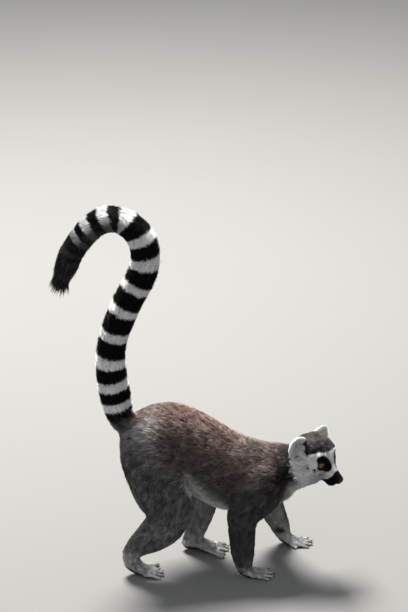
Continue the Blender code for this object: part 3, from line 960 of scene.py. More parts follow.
@dataclass(frozen=True)
class FurFinish:
    """Hair, or the skin between the hairs, coloured by the markings."""

    name: str
    grey: Colour = (0.124, 0.125, 0.133)
    russet: Colour = (0.245, 0.135, 0.098)
    white: Colour = (0.92, 0.92, 0.90)
    black: Colour = (0.006, 0.0055, 0.0055)
    tip: Colour = (0.40, 0.39, 0.39)
    roughness: float = 0.66
    relief: Relief | None = None
    ringed: bool = False
    fray: float = 0.14              # how far single tufts shift the edge of a ring, in rings

    def make(self) -> bpy.types.Material:
        """Makes the material.

        Returns:
            The material.
        """
        material, nodes, shader = new_material(self.name, Roughness=self.roughness,
                                               Specular_IOR_Level=0.06)
        white, black, russet = nodes.split("marking")
        along, tone, frost = nodes.split("strand")
        group = nodes.add("ShaderNodeGroup", node_tree=COAT_COLOUR)
        shares = {"Along": along, "Tone": tone, "Frost": frost}
        if self.ringed:
            white, black = self.rings(nodes, white, tone, russet)
        else:
            shares["Russet share"] = russet
        shares.update({"White share": white, "Black share": black})
        for name, value in shares.items():
            nodes.link(value, group.inputs[name])
        for name, value in zip(COAT_COLOURS,
                               (self.grey, self.russet, self.white, self.black, self.tip)):
            group.inputs[name].default_value = (*value, 1)
        nodes.link(group.outputs["Color"], shader.inputs["Base Color"])
        if self.relief:
            self.relief.add(nodes, shader)
        return material

    def rings(self, nodes: Nodes, strength: bpy.types.NodeSocket, tone: bpy.types.NodeSocket,
              phase: bpy.types.NodeSocket) -> tuple[bpy.types.NodeSocket, bpy.types.NodeSocket]:
        """Draws the rings of the tail, with frayed edges.

        Args:
            nodes: the material's nodes.
            strength: how white the white rings are.
            tone: the tone of each tuft, which frays the edges of the rings.
            phase: how many rings lie before the place.

        Returns:
            The white and the black share.
        """
        frayed = nodes.math("MULTIPLY_ADD", nodes.math("SUBTRACT", tone, 0.5), self.fray, phase)
        wave = nodes.math("COSINE", nodes.math("MULTIPLY", frayed, 2 * math.pi), 0.0)
        white = nodes.math("MULTIPLY", nodes.span(wave, *MARKINGS.ring_edge), strength)
        return white, nodes.math("SUBTRACT", 1.0, white)


@dataclass(frozen=True)
class LeatherFinish:
    """Bare black skin with a fine pebbled relief."""

    name: str
    dark: Colour = (0.005, 0.0045, 0.0045)
    light: Colour = (0.013, 0.012, 0.0115)
    roughness: float = 0.38
    coat: float = 0.05
    relief: Relief = Relief(pebbles=1400.0, hairs=700.0, strength=0.5, height=0.0003)

    def make(self) -> bpy.types.Material:
        """Makes the material.

        Returns:
            The material.
        """
        material, nodes, shader = new_material(self.name, Specular_IOR_Level=0.26,
                                               Coat_Weight=self.coat, Coat_Roughness=0.2)
        height = self.relief.add(nodes, shader)
        share = nodes.math("MULTIPLY", height, 0.6, clamp=True)
        colour = nodes.mix(share, (*self.dark, 1), (*self.light, 1))
        nodes.link(colour, shader.inputs["Base Color"])
        rough = nodes.math("MULTIPLY_ADD", height, 0.16, self.roughness)
        nodes.link(rough, shader.inputs["Roughness"])
        return material


@dataclass(frozen=True)
class EyeFinish:
    """A wet eye: round black pupil, amber iris with rays, and a dark rim."""

    name: str
    inner: Colour = (0.36, 0.120, 0.012)
    outer: Colour = (0.15, 0.038, 0.006)
    rim: Colour = (0.010, 0.007, 0.006)
    pupil: float = 0.44             # radius of the pupil, as a share of the iris
    soft: float = 0.03              # width of the pupil's edge
    rim_edge: Span = (0.90, 1.0)
    iris_edge: Span = (0.65, 1.20)  # from the inner colour to the outer one

    def make(self) -> bpy.types.Material:
        """Makes the material.

        Returns:
            The material.
        """
        material, nodes, shader = new_material(
            self.name, Roughness=0.16, Specular_IOR_Level=0.08, Coat_Weight=1.0,
            Coat_Roughness=0.02, Coat_IOR=1.34)
        reach, cosine, sine = nodes.split("iris")
        spokes = nodes.add("ShaderNodeCombineXYZ", {0: cosine, 1: sine, 2: 0.0})
        rays = nodes.add("ShaderNodeTexNoise",
                         {"Vector": spokes.outputs[0], "Scale": 9.0, "Detail": 3.0})
        depth = nodes.math("MULTIPLY_ADD", rays.outputs["Fac"], 0.5, reach)
        colour = nodes.mix(nodes.span(depth, *self.iris_edge), (*self.inner, 1),
                           (*self.outer, 1))
        for edge in (self.rim_edge, (self.pupil + self.soft, self.pupil)):
            colour = nodes.mix(nodes.span(reach, *edge), colour, (*self.rim, 1))
        nodes.link(colour, shader.inputs["Base Color"])
        return material


@dataclass(frozen=True)
class FloorFinish:
    """A plain pale floor, faintly clouded."""

    name: str
    colour: Colour = (0.225, 0.225, 0.22)
    dimmest: float = 0.97           # the darkest cloud, as a share of the colour

    def make(self) -> bpy.types.Material:
        """Makes the material.

        Returns:
            The material.
        """
        material, nodes, shader = new_material(self.name, Roughness=0.9, Specular_IOR_Level=0.2)
        place = nodes.add("ShaderNodeTexCoord").outputs["Object"]
        cloud = nodes.add("ShaderNodeTexNoise", {"Vector": place, "Scale": 2.0})
        dark = tuple(self.dimmest * value for value in self.colour)
        colour = nodes.mix(cloud.outputs["Fac"], (*dark, 1), (*self.colour, 1))
        nodes.link(colour, shader.inputs["Base Color"])
        return material


# ---- eye frame ----------------------------------------------------------------------------

class EyeFrame:
    """The middle of one eye, and axes round the way it looks, in the head's millimetres."""

    SOCKET_AIM = (0.80, 0.60, 0.04)     # the way the socket opens
    GAZE = (0.82, 0.55, 0.14)           # the way the eye looks

    def __init__(self, sign: int, aim: Triple) -> None:
        """Sets up the axes.

        Args:
            sign: 1 for the left eye and -1 for the right one.
            aim: the way the frame's axis points, for the left eye.
        """
        self.centre = np.array((HEAD.eye_ahead, HEAD.eye_side * sign, HEAD.eye_up))
        self.aim = unit(np.array((aim[0], aim[1] * sign, aim[2])))
        self.level = unit(np.cross((0, 0, 1), self.aim)) * sign
        self.upward = np.cross(self.aim, self.level) * sign

    def at(self, turn: np.ndarray, polar: np.ndarray, reach: Number) -> np.ndarray:
        """Finds places round the middle of the eye.

        Args:
            turn: the angle round the axis, from level and outwards.
            polar: the angle from the axis.
            reach: the distance from the middle.

        Returns:
            Offsets from the middle, one row for each angle.
        """
        flat = np.cos(turn)[:, None] * self.level + np.sin(turn)[:, None] * self.upward
        made = flat * np.sin(polar)[:, None] + self.aim * np.cos(polar)[:, None]
        return made * np.reshape(reach, (-1, 1))


LID_OPEN = 38.0                     # half the height of the opening, in degrees of the ball
LID_CORNER = 8.0                    # how much further it opens at its corners
LID_FLAT = 3.0                      # how much the upper lid hangs down


def lid_opening(turn: np.ndarray) -> np.ndarray:
    """Gives the almond between the lids.

    Args:
        turn: angles round the eye's axis.

    Returns:
        How far the lids open at each angle, in degrees of the ball.
    """
    level, lift = np.cos(turn), np.sin(turn)
    corner = np.abs(level) ** 1.6
    return LID_OPEN + LID_CORNER * corner - LID_FLAT * np.maximum(lift, 0) * (1 - corner)


# ---- skin ---------------------------------------------------------------------------------

@dataclass
class Hide:
    """The skin, and all that the coat needs to know about it.

    The CAD nodes of flesh are fused into one outline, and the skin is that outline moved in by
    the depth of the coat.
    """

    voxel: float = 1.8 * MM
    overlap: float = 0.5 * MM       # swells the nodes, so that they close the cuts between them
    triangles: int = 88000
    low_parts: float = 22 * MM      # hands and feet lie below this height
    tail_core: float = 0.36         # share of the tail's thickness that is not hair
    tail_end: float = 0.480         # from here on the flesh of the tail is drawn back, in metres
    tail_drawn: float = 0.62        # how far it is drawn back, as a share of its length
    flank_fold: Triple = (-0.018, -0.038, 0.151)    # middle of the fold from thigh to belly
    fold_size: Triple = (0.013, 0.008, 0.012)
    # On the head, in millimetres.
    head_end: float = -56.0
    head_corner: Span = (0.12, 0.12)    # it lies ahead of this and above it, in metres
    ear_side: float = 30.0          # the ears lie further aside than this
    face_edges: Span = (-12.0, 4.0)     # ahead of each the skin is divided once more
    face_box: Triple = (60.0, 34.0, -40.0)      # how far ahead, aside and down that reaches
    whorl: Triple = (34, 0, -16)    # the fur of the head lies away from here
    nose_place: Span = (32.6, 33.4)     # the skin under the nose pad is bare
    mouth_height: float = -24.3
    ear_reach: float = 15.5         # half the width of an ear
    ear_hollow: float = 1.2
    face_from: Span = (-30, -4)     # from the fur of the head to the short fur of the face
    # How the coat lies, and how far painted shade darkens the skin.
    shaded_skin_strand: Triple = (0.20, 0.30, 0.0)         # painted shade: as dark as the shaded roots of the hair
    hang: float = 0.55              # how far the coat of the flanks hangs down
    sweep: float = 0.35             # how far that of the upper limbs lies rearwards
    # The cell, the strength and the seed of each swirl.
    wobbles: tuple[tuple[float, float, int], ...] = ((0.018, 0.55, 21), (0.007, 0.70, 24))
    # How often each property is evened out over the skin, and by how much.
    size_rounds: int = 14
    mark_rounds: int = 24
    white_rounds: int = 14
    depth_rounds: int = 10
    flow_rounds: tuple[int, int] = (16, 40)
    even: float = 0.8
    # How far each feature of the mouth moves the skin outwards, in millimetres.
    groove: float = -1.25
    tuck: float = -0.35
    pad: float = 0.5
    chin: float = 2.2
    # Round the eyes, in millimetres from the eye's middle or degrees from the socket's axis.
    socket_ahead: float = 7.8       # the wall of a socket is a ball this far ahead of the eye
    socket_radius: float = 10.5
    socket_bare: Span = (82, 88)
    lid_reach: float = 7.8          # the edges of the lids
    lid_fold: Span = (55, 84)       # here the wall turns into the lids
    lid_span: Span = (50, 100)
    lid_tuck: float = 4.0           # how far it passes the edge of the opening
    lid_fur: float = 0.9

    # What the skin gets from the outline: one row for each vertex, in metres.
    outline: np.ndarray = field(init=False)     # its places at the tips of the coat
    skin: np.ndarray = field(init=False)        # its places below the coat
    reach: np.ndarray = field(init=False)       # from the skin to the outline
    normals: np.ndarray = field(init=False)
    local: np.ndarray = field(init=False)       # the outline in the head's millimetres
    part: np.ndarray = field(init=False)        # the number of its part
    region: np.ndarray = field(init=False)
    sizes: np.ndarray = field(init=False)       # its FurKind
    sharp: np.ndarray = field(init=False)       # whether markings have clear edges
    flow: np.ndarray = field(init=False)        # the way the coat lies
    bare: np.ndarray = field(init=False)        # how bare it is, from 0 to 1
    marking: np.ndarray = field(init=False)
    edges: np.ndarray = field(init=False)       # pairs of vertices
    triples: np.ndarray = field(init=False)     # the triangles' vertices
    tree: BVHTree = field(init=False)           # finds the nearest place on the skin

    def build(self) -> bpy.types.Object:
        """Makes and dresses the skin.

        Returns:
            The skin's object.
        """
        obj = self.fused()
        self.subdivide_face(obj)
        self.measure(obj)
        self.move_in()
        self.tree = BVHTree.FromPolygons(self.skin.tolist(), self.triples.tolist())
        obj.data.vertices.foreach_set("co", self.skin.astype(np.float32).ravel())
        obj.data.update()
        store(obj.data, "marking", self.skin_markings())
        # painted shade: the skin is darkened like the shaded roots of the hair
        store(obj.data, "strand", np.tile(self.shaded_skin_strand, (len(self.skin), 1)))
        obj.data.shade_smooth()
        self.dress(obj)
        return obj

    def fused(self) -> bpy.types.Object:
        """Fuses the nodes of flesh.

        Returns:
            One closed surface at the tips of the coat.
        """
        bm = bmesh.new()
        for part in PARTS:
            bm.from_mesh(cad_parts[part.node].data)
        bmesh.ops.remove_doubles(bm, verts=bm.verts, dist=1e-6)
        bm.normal_update()
        for vert in bm.verts:
            vert.co += vert.normal * self.overlap
        fold = Matrix.Translation(self.flank_fold) @ Matrix.Diagonal((*self.fold_size, 1))
        bmesh.ops.create_icosphere(bm, subdivisions=3, radius=1, matrix=fold)
        obj = from_bmesh("skin", bm)
        fuse = obj.modifiers.new("fuse", "REMESH")
        fuse.mode = "VOXEL"
        fuse.voxel_size = self.voxel
        applied(obj)
        self.smooth(obj)
        thinner = obj.modifiers.new("thin", "DECIMATE")
        thinner.ratio = self.triangles / (2 * len(obj.data.polygons))
        applied(obj)
        return obj

    def smooth(self, obj: bpy.types.Object) -> None:
        """Evens out the steps of the voxels, least on the hands, feet, head and ears.

        Args:
            obj: the fused surface.
        """
        places = read(obj.data.vertices, "co", 3)
        edges = read(obj.data.edges, "vertices", 2, np.int32)
        local = HEAD.local(places)
        on_head = (local[:, 0] > self.head_end) & (places[:, 0] > self.head_corner[0])
        on_head = on_head & (places[:, 2] > self.head_corner[1])
        thin = (places[:, 2] < self.low_parts) | (on_head & (np.abs(local[:, 1]) > self.ear_side))
        places = diffuse(places, edges, 4, np.where(thin, 0.15, 0.5))
        places = diffuse(places, edges, 8, np.where(thin | on_head, 0.0, 0.5))
        obj.data.vertices.foreach_set("co", places.astype(np.float32).ravel())

    def subdivide_face(self, obj: bpy.types.Object) -> None:
        """Divides the front of the head finely, so that it can hold lips and folds.

        Args:
            obj: the fused surface.
        """
        bm = bmesh.new()
        bm.from_mesh(obj.data)
        ahead, aside, down = self.face_box
        for reach in self.face_edges:
            places = HEAD.local(np.array([vert.co for vert in bm.verts]))
            front = set(np.flatnonzero((places[:, 0] > reach) & (np.abs(places[:, 1]) < aside)
                                       & (places[:, 2] > down) & (places[:, 0] < ahead)))
            edges = [edge for edge in bm.edges
                     if edge.verts[0].index in front and edge.verts[1].index in front]
            bmesh.ops.subdivide_edges(bm, edges=edges, cuts=1, smooth=0.6, use_grid_fill=True)
            bmesh.ops.triangulate(bm, faces=bm.faces)
            bm.verts.index_update()
        bm.to_mesh(obj.data)
        bm.free()

    def measure(self, obj: bpy.types.Object) -> None:
        """Works out, for each vertex, its part of the body and how the coat lies there.

        Args:
            obj: the fused surface with its divided face.
        """
        mesh = obj.data
        mesh.calc_loop_triangles()
        self.outline = read(mesh.vertices, "co", 3)
        self.normals = read(mesh.vertices, "normal", 3)
        self.edges = read(mesh.edges, "vertices", 2, np.int32)
        self.triples = read(mesh.loop_triangles, "vertices", 3, np.int32)
        self.local = HEAD.local(self.outline)
        self.part = self.nearest_parts()
        self.region = np.array([part.region.value for part in PARTS])[self.part]
        self.sharp = self.on(*SHARP)
        sizes = np.array([FUR[region].row() for region in Region])[self.region]
        face = ramp(self.local[:, 0], *self.face_from) * self.on(Region.HEAD)
        sizes = sizes + (np.array(FACE_FUR.row()) - sizes) * face[:, None]
        self.sizes = diffuse(sizes, self.edges, self.size_rounds, self.even)
        self.sizes[:, 0] *= MM
        self.flow = self.lie_of_coat()
        self.bare = self.bare_share()
        self.marking = self.soft_markings()

    def on(self, *regions: Region) -> np.ndarray:
        """Returns whether each vertex lies on one of these regions."""
        return np.isin(self.region, [region.value for region in regions])

    def soft_markings(self) -> np.ndarray:
        """Marks the outline, and evens out the markings where they have no clear edges.

        Returns:
            White, black and russet shares, one row for each vertex.
        """
        made = MARKINGS.of(self.outline, self.normals, self.region)
        soft = self.edges[~self.sharp[self.edges].any(1)]
        on_body = self.on(Region.TRUNK, Region.NECK)
        same = soft[on_body[soft[:, 0]] == on_body[soft[:, 1]]]
        made[:, 1:] = diffuse(made[:, 1:], soft, self.mark_rounds, self.even)
        made[:, :1] = diffuse(made[:, :1], same, self.white_rounds, self.even)
        gland = MARKINGS.glands(self.outline)
        made[:, 0] *= 1 - gland
        made[:, 1] = np.maximum(made[:, 1], 0.97 * gland)
        return made

    def nearest_parts(self) -> np.ndarray:
        """Finds the part to which each vertex of the outline belongs.

        Returns:
            The number of the nearest part for each vertex.
        """
        places, triples, owner = [], [], []
        for number, part in enumerate(PARTS):
            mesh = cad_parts[part.node].data
            mesh.calc_loop_triangles()
            faces = read(mesh.loop_triangles, "vertices", 3, np.int32)
            triples += (faces + sum(map(len, places))).tolist()
            places.append(corners(part.node))
            owner += [number] * len(faces)
        tree = BVHTree.FromPolygons(np.concatenate(places).tolist(), triples)
        return np.array([owner[tree.find_nearest(point)[2]] for point in self.outline.tolist()])

    def lie_of_coat(self) -> np.ndarray:
        """Lays the coat along each part, with soft turns between them and a few swirls.

        Returns:
            The way the coat lies at each vertex, along the surface.
        """
        flow = np.zeros_like(self.outline)
        for number, part in enumerate(PARTS):
            here = self.part == number
            start, end = axis_of(part)
            flow[here] = unit(end - start)
            if part.region is Region.TAIL:
                flow[here] = TAIL.tangents[TAIL.nearest(self.outline[here])]
            elif part.region is Region.HEAD:
                flow[here] = unit(self.outline[here] - HEAD.world(self.whorl))
            elif part.region is Region.EAR:
                flow[here] = unit(self.outline[here] - start)
            elif part.region in (Region.TRUNK, Region.NECK):
                flow[here, 2] -= self.hang * (1 - np.abs(self.normals[here, 2]))
            elif part.region in (Region.THIGH, Region.UPPER_ARM):
                flow[here, 0] -= self.sweep
        for rounds, share in zip(self.flow_rounds,
                                 (self.even, np.where(self.sharp, 0.0, self.even))):
            flow = diffuse(unit(flow), self.edges, rounds, share)
        flow = unit(flow)
        for cell, share, seed in self.wobbles:
            wobble = np.stack([noise(self.outline, cell, seed + i) for i in range(3)], 1) - 0.5
            flow = flow + share * wobble * np.where(self.sharp, 0.45, 1.0)[:, None]
        return unit(across(flow, self.normals))

    def bare_share(self) -> np.ndarray:
        """Finds the palms, the soles and the place of the nose pad.

        Returns:
            How bare each vertex is, from 0 to 1.
        """
        ahead, _, up = self.local.T
        sole = self.on(Region.HAND, Region.FOOT) * ramp(self.normals[:, 2], -0.15, -0.45)
        return np.maximum(sole, ramp(ahead, *self.nose_place) * (up > -22))

    def move_in(self) -> None:
        """Sets the skin's places, inside the outline by the depth of the coat."""
        inward = -self.normals * (self.sizes[:, 0] * (1 - self.bare))[:, None]
        tail = self.on(Region.TAIL)
        line = TAIL.points[TAIL.nearest(self.outline[tail])]
        inward[tail] = (line - self.outline[tail]) * (1 - self.tail_core)
        inward = diffuse(inward, self.edges, self.depth_rounds, 0.7)
        self.skin = self.outline + inward
        # The flesh of the tail ends well before the tips of its brush.
        near = TAIL.nearest(self.skin)
        past = np.maximum(TAIL.run[near] - self.tail_end, 0) * tail
        self.skin -= TAIL.tangents[near] * (self.tail_drawn * past)[:, None]
        self.skin[:, 2] = np.maximum(self.skin[:, 2], 0)
        self.press_mouth()
        self.hollow_ears()
        for sign in SIDES.values():
            self.fold_lids(sign)
        self.reach = self.outline - self.skin

    def press_mouth(self) -> None:
        """Presses the line of the mouth into the muzzle and fills the whisker pads and chin."""
        ahead, side, up = self.local.T
        on_head = self.on(Region.HEAD)
        line = self.mouth_height + 3.4 * ramp(ahead, 10, -4)
        groove = np.exp(-((up - line) / 1.0) ** 2) * ramp(ahead, -4, 2) * on_head
        tuck = ramp(up, line - 0.3, line - 2.5) * ramp(ahead, 8, 16) * on_head
        pads = np.exp(-((ahead - 20) / 6) ** 2 - ((up + 18.5) / 4) ** 2)
        pads = pads * (np.abs(side) > 4) * on_head
        chin = np.exp(-((ahead - 21) / 8) ** 2) * ramp(up, line - 1.0, line - 4.0) * on_head
        push = (self.groove * groove + self.tuck * tuck + self.pad * pads
                + self.chin * chin) * MM
        self.outline = self.outline + self.normals * (self.chin * MM * chin)[:, None]
        self.skin = self.skin + self.normals * push[:, None]

    def hollow_ears(self) -> None:
        """Hollows the front of each ear."""
        for number, part in enumerate(PARTS):
            if part.region is not Region.EAR:
                continue
            here = np.flatnonzero(self.part == number)
            start, tip = axis_of(part)
            middle = self.outline[here].mean(0) * 0.55 + (start + tip) / 2 * 0.45
            facing = unit(np.cross(tip - start, np.cross(HEAD.axes[0], tip - start)))
            offset = across(self.outline[here] - middle, np.tile(facing, (len(here), 1)))
            share = np.linalg.norm(offset, axis=1) / (self.ear_reach * MM)
            front = ramp(self.normals[here] @ facing, 0.05, 0.55) * ramp(share, 0.85, 0.25)
            self.skin[here] -= facing * (self.ear_hollow * MM * front)[:, None]

    def fold_lids(self, sign: int) -> None:
        """Folds the wall of an eye's socket over the eyeball, where it becomes the lids.

        Args:
            sign: 1 for the left eye and -1 for the right one.
        """
        socket = EyeFrame(sign, EyeFrame.SOCKET_AIM)
        gaze = EyeFrame(sign, EyeFrame.GAZE)
        made = HEAD.local(self.skin)
        offset = made - socket.centre
        reach = np.linalg.norm(offset, axis=1)
        cosine = (offset @ socket.aim) / np.maximum(reach, TINY)
        polar = np.degrees(np.arccos(np.clip(cosine, -1, 1)))
        # How far the wall of the socket lies from the middle of the eye, at each angle.
        ahead, radius = self.socket_ahead, self.socket_radius
        wall = ahead * cosine + np.sqrt((ahead * cosine) ** 2 + radius ** 2 - ahead ** 2)
        within = reach < 1.25 * wall + 0.5
        here = within & (polar > self.lid_span[0]) & (polar < self.lid_span[1])
        share = (ramp(polar, *self.lid_fold) * here * self.on(Region.HEAD))[:, None]
        turn = np.arctan2(offset @ gaze.upward, offset @ gaze.level)
        edge = np.radians(lid_opening(turn) + self.lid_tuck)
        margin = gaze.at(turn, edge, self.lid_reach) + gaze.centre
        made = made + diffuse((margin - made) * share, self.edges, 2, 0.5)
        radial = unit(made - socket.centre)
        away = across(unit(radial - gaze.aim), radial)
        self.skin = HEAD.world(made)
        self.normals = unit(self.normals + share * (HEAD.direction(radial) - self.normals))
        furred = self.skin + self.normals * (self.lid_fur * MM)
        self.outline = self.outline + share * (furred - self.outline)
        self.flow = unit(self.flow + share * (HEAD.direction(away) - self.flow))
        self.bare = np.maximum(self.bare, ramp(polar, *self.socket_bare) * within)

    def skin_markings(self) -> np.ndarray:
        """Marks the skin as the coat, but black where it is bare.

        Returns:
            White, black and russet shares, one row for each vertex.
        """
        made = self.marking.copy()
        depth = np.where(self.on(Region.HAND, Region.FOOT), 0.85, 1.0)
        black = np.maximum(made[:, 1], self.bare * depth)
        made[:, 0] = made[:, 0] * (1 - black)
        made[:, 1] = black
        return made

    def drape(self, places: np.ndarray) -> tuple[np.ndarray, np.ndarray]:
        """Returns the nearest places on the skin and the numbers of their triangles."""
        found = [self.tree.find_nearest(point) for point in places.tolist()]
        return np.array([hit[0] for hit in found]), np.array([hit[2] for hit in found])

    def dress(self, obj: bpy.types.Object) -> None:
        """Gives the skin its finish and its place on the body.

        Args:
            obj: the skin.
        """
        relief = Relief(pebbles=900.0, hairs=1500.0, strength=0.6, height=0.0004)
        finish = FurFinish("skin", grey=(0.085, 0.080, 0.080), roughness=0.6, relief=relief)
        obj.data.materials.clear()
        obj.data.materials.append(finish.make())
        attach(obj, "root")
        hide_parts(*(part.node for part in PARTS))


# ---- coat ---------------------------------------------------------------------------------

RINGED = "ringed_coat"


class Strand(Enum):
    """Shapes of tufts: a bent lock of two lengths, or a straight short spike.

    The value is the number of vertices of one tuft.
    """

    LOCK = 7
    SPIKE = 4


@dataclass(frozen=True)
class Tufts:
    """The tufts of one piece, one row each."""

    line: tuple[np.ndarray, np.ndarray, np.ndarray]     # the roots, the middles and the tips
    normal: np.ndarray              # the way the skin faces at the root
    width: np.ndarray               # the greatest width
    chart: np.ndarray               # the root's place on the map
    marking: list[np.ndarray]       # the markings at the root, the middle and the tip
    strand: np.ndarray              # how light the tuft is, and how pale its tip


@dataclass
class Coat:
    """One piece of the coat: the tufts that grow on some parts of the body."""

    name: str
    slot: str
    nodes: tuple[str, ...]
    seed: int
    strand: Strand = Strand.LOCK
    low: float = -1e9               # the piece ends where measure is below low or above high
    high: float = 1e9
    on_head: bool = False           # measure along the head's own axis and not along X
    bend: float = 0.74              # how far a lock has risen halfway along
    unruly: float = 0.24            # how far the tufts turn aside, in radians
    lengths: Span = (0.72, 1.15)    # shortest and longest tuft, as a share of the usual one
    widths: Span = (0.75, 1.2)
    stray: float = 0.11             # how unevenly the tufts rise
    rise: Span = (0.55, 1.12)       # how far tips may fall short of the outline or pass it
    rooted: float = 0.4 * MM        # depth of the roots in the skin
    clear: float = 0.6 * MM         # no tuft hangs lower than this
    lowest: float = 0.4 * MM        # and none of its corners lower than this
    clump: float = 0.30             # how far the tips draw together
    clump_cell: float = 5.5 * MM
    loose: Span = (0.465, 0.500)    # from here on the tail has a loose brush, in metres
    spread: Span = (0.05, 0.60)     # how far its tufts turn aside
    stretch: Span = (0.60, 1.60)    # and how long they are, as a share of the usual length
    flatness: float = 0.55          # thickness of a tuft as a share of its width
    patch: float = 0.003            # size of one tuft on the map
    map_span: Span = (0.004, 0.988)    # the part of the map that the roots take: start and width
    strip_span: Span = (0.01, 0.98)    # the part of its strip that each part of the body takes

    def build(self, hide: Hide) -> bpy.types.Object:
        """Grows the piece on the skin.

        Args:
            hide: the skin.

        Returns:
            The piece's object.
        """
        rng = np.random.default_rng(self.seed)
        chosen, shares = self.roots(hide, rng)
        triples = hide.triples[chosen]

        def at(values: np.ndarray) -> np.ndarray:
            """Returns the values at the roots."""
            return (values[triples] * shares[:, :, None]).sum(1)

        root, normal, flow = at(hide.skin), unit(at(hide.normals)), unit(at(hide.flow))
        # The tufts differ in length, singly and from patch to patch.
        length, width = (at(hide.sizes[:, 1:3]) * MM).T
        length = length * rng.uniform(*self.lengths, len(root))
        length *= 0.85 + 0.3 * noise(root, 0.010, 31)
        width = width * rng.uniform(*self.widths, len(root))
        turn = rng.normal(0, self.unruly, (len(root), 1))
        flow = unit(flow + np.cross(normal, flow) * turn)
        middle, tip, below = self.laid(hide, rng, (root, normal, flow), length)
        line = (root - normal * self.rooted, middle, tip)
        tone, frost = self.shades(hide, rng, below)
        marking = self.markings(hide, below, line)
        frost = at(hide.sizes[:, 4:])[:, 0] * frost
        frost *= 1 - np.clip(marking[0][:, 0] + 0.8 * marking[0][:, 1], 0, 1)
        tufts = Tufts(line, normal, width, self.chart(hide, chosen, line[0]), marking,
                      np.stack([tone, frost], 1))
        obj = self.mesh(tufts)
        self.dress(obj)
        return obj

    def roots(self, hide: Hide, rng: np.random.Generator) -> tuple[np.ndarray, np.ndarray]:
        """Spreads the roots over the piece's part of the skin.

        Args:
            hide: the skin.
            rng: the piece's random draws.

        Returns:
            The triangle of each root and the root's place in it, as three shares.
        """
        numbers = [i for i, part in enumerate(PARTS) if part.node in self.nodes]
        first = hide.triples[:, 0]
        line = hide.local[first, 0] if self.on_head else hide.outline[first, 0]
        mine = np.isin(hide.part[first], numbers) & (line >= self.low) & (line < self.high)
        picked = np.flatnonzero(mine)
        a, b, c = hide.outline[hide.triples[picked]].transpose(1, 0, 2)
        area = np.linalg.norm(np.cross(b - a, c - a), axis=1) / 2
        spacing = hide.sizes[:, 3][hide.triples[picked]].mean(1) * MM
        bald = hide.bare[hide.triples[picked]].mean(1)
        total = np.cumsum(area / spacing ** 2 * (1 - bald))
        count = int(total[-1])
        at = (np.arange(count) + rng.random(count)) * total[-1] / count
        chosen = picked[np.minimum(np.searchsorted(total, at), len(picked) - 1)]
        one, two = rng.random((2, count))
        flip = one + two > 1
        one, two = np.where(flip, 1 - one, one), np.where(flip, 1 - two, two)
        return chosen, np.stack([1 - one - two, one, two], 1)

    def laid(self, hide: Hide, rng: np.random.Generator,
             base: tuple[np.ndarray, np.ndarray, np.ndarray], length: np.ndarray
             ) -> tuple[np.ndarray, np.ndarray, np.ndarray]:
        """Lays the tufts along the skin, rising towards the outline.

        Args:
            hide: the skin.
            rng: the piece's random draws.
            base: the roots, the way the skin faces there, and the way the tufts lie.
            length: the length of each tuft.

        Returns:
            The middles, the tips, and the triangle of skin below each middle.
        """
        root, normal, flow = base
        step = (length * 0.5)[:, None]
        middle, below = hide.drape(root + flow * step)
        along = unit(across(flow, unit(hide.normals[hide.triples[below]].mean(1))))
        far, end = hide.drape(middle + along * step)
        held = 1.0
        if self.slot == RINGED:
            near = TAIL.nearest(root)
            way = TAIL.tangents[near]
            loose = ramp(TAIL.run[near], *self.loose)[:, None]
            spread, stretch = rng.uniform(*zip(self.spread, self.stretch), (len(root), 2)).T
            aside = unit(across(normal, way)) * spread[:, None]
            free = root + unit(way + aside) * (stretch * length)[:, None]
            far = far + loose * (free - far)
            middle = middle + loose * ((root + far) / 2 - middle)
            held = 1 - 0.85 * loose
        stray = rng.normal(0, self.stray, (2, len(root)))
        bend = self.bend + stray[0]
        rise = np.clip(1 + stray[1], *self.rise)
        middle = middle + held * hide.reach[hide.triples[below]].mean(1) * bend[:, None]
        tip = far + held * hide.reach[hide.triples[end]].mean(1) * rise[:, None]
        for places in (middle, tip):
            places[:, 2] = np.maximum(places[:, 2], self.clear)
        return middle, self.clumped(tip), below

    def clumped(self, tips: np.ndarray) -> np.ndarray:
        """Draws tips together into small clumps.

        Args:
            tips: the tips of the tufts, one a row.

        Returns:
            Their new places.
        """
        step, cell, seed = 0.4 * MM, self.clump_cell, 51
        middle = noise(tips, cell, seed)
        slope = np.stack([noise(tips + step * np.eye(3)[axis], cell, seed) - middle
                          for axis in range(3)], 1) / step
        return tips + slope * cell * self.clump * cell

    def shades(self, hide: Hide, rng: np.random.Generator,
               below: np.ndarray) -> tuple[np.ndarray, np.ndarray]:
        """Varies the tufts, singly and in small patches.

        Args:
            hide: the skin.
            rng: the piece's random draws.
            below: the triangle of skin below each tuft.

        Returns:
            How light each tuft is, and how pale its tip, both about from 0 to 1.
        """
        shown = hide.outline[hide.triples[below]].mean(1)
        sharp = hide.sharp[hide.triples[below, 0]]
        mottled = noise(shown, 0.0055, 41) + 0.6 * noise(shown, 0.0028, 43) - 0.8
        tone = rng.normal(0.5, 0.15, len(below)) + mottled * np.where(sharp, 0.55, 1.3)
        frost = rng.normal(0.45, 0.3, len(below)) + 1.5 * (noise(shown, 0.006, 42) - 0.5)
        return tone, np.clip(frost, 0, 1)

    def markings(self, hide: Hide, below: np.ndarray,
                 line: tuple[np.ndarray, ...]) -> list[np.ndarray]:
        """Marks the tufts.

        Args:
            hide: the skin.
            below: the triangle of skin below each tuft.
            line: the roots, the middles and the tips.

        Returns:
            White, black and russet shares at the root, the middle and the tip. On the tail they
            are how white its rings are, nothing, and how many rings lie before the place.
        """
        triples = hide.triples[below]
        shown, facing = hide.outline[triples].mean(1), unit(hide.normals[triples].mean(1))
        if self.slot == RINGED:
            strength = MARKINGS.ring_strength(shown, facing)
            return [np.stack([strength, np.zeros_like(strength), MARKINGS.phase(place)], 1)
                    for place in line]
        clear = MARKINGS.of(shown, facing, hide.region[triples[:, 0]])
        sharp = hide.sharp[triples[:, 0]]
        return [np.where(sharp[:, None], clear, hide.marking[triples].mean(1))] * 3

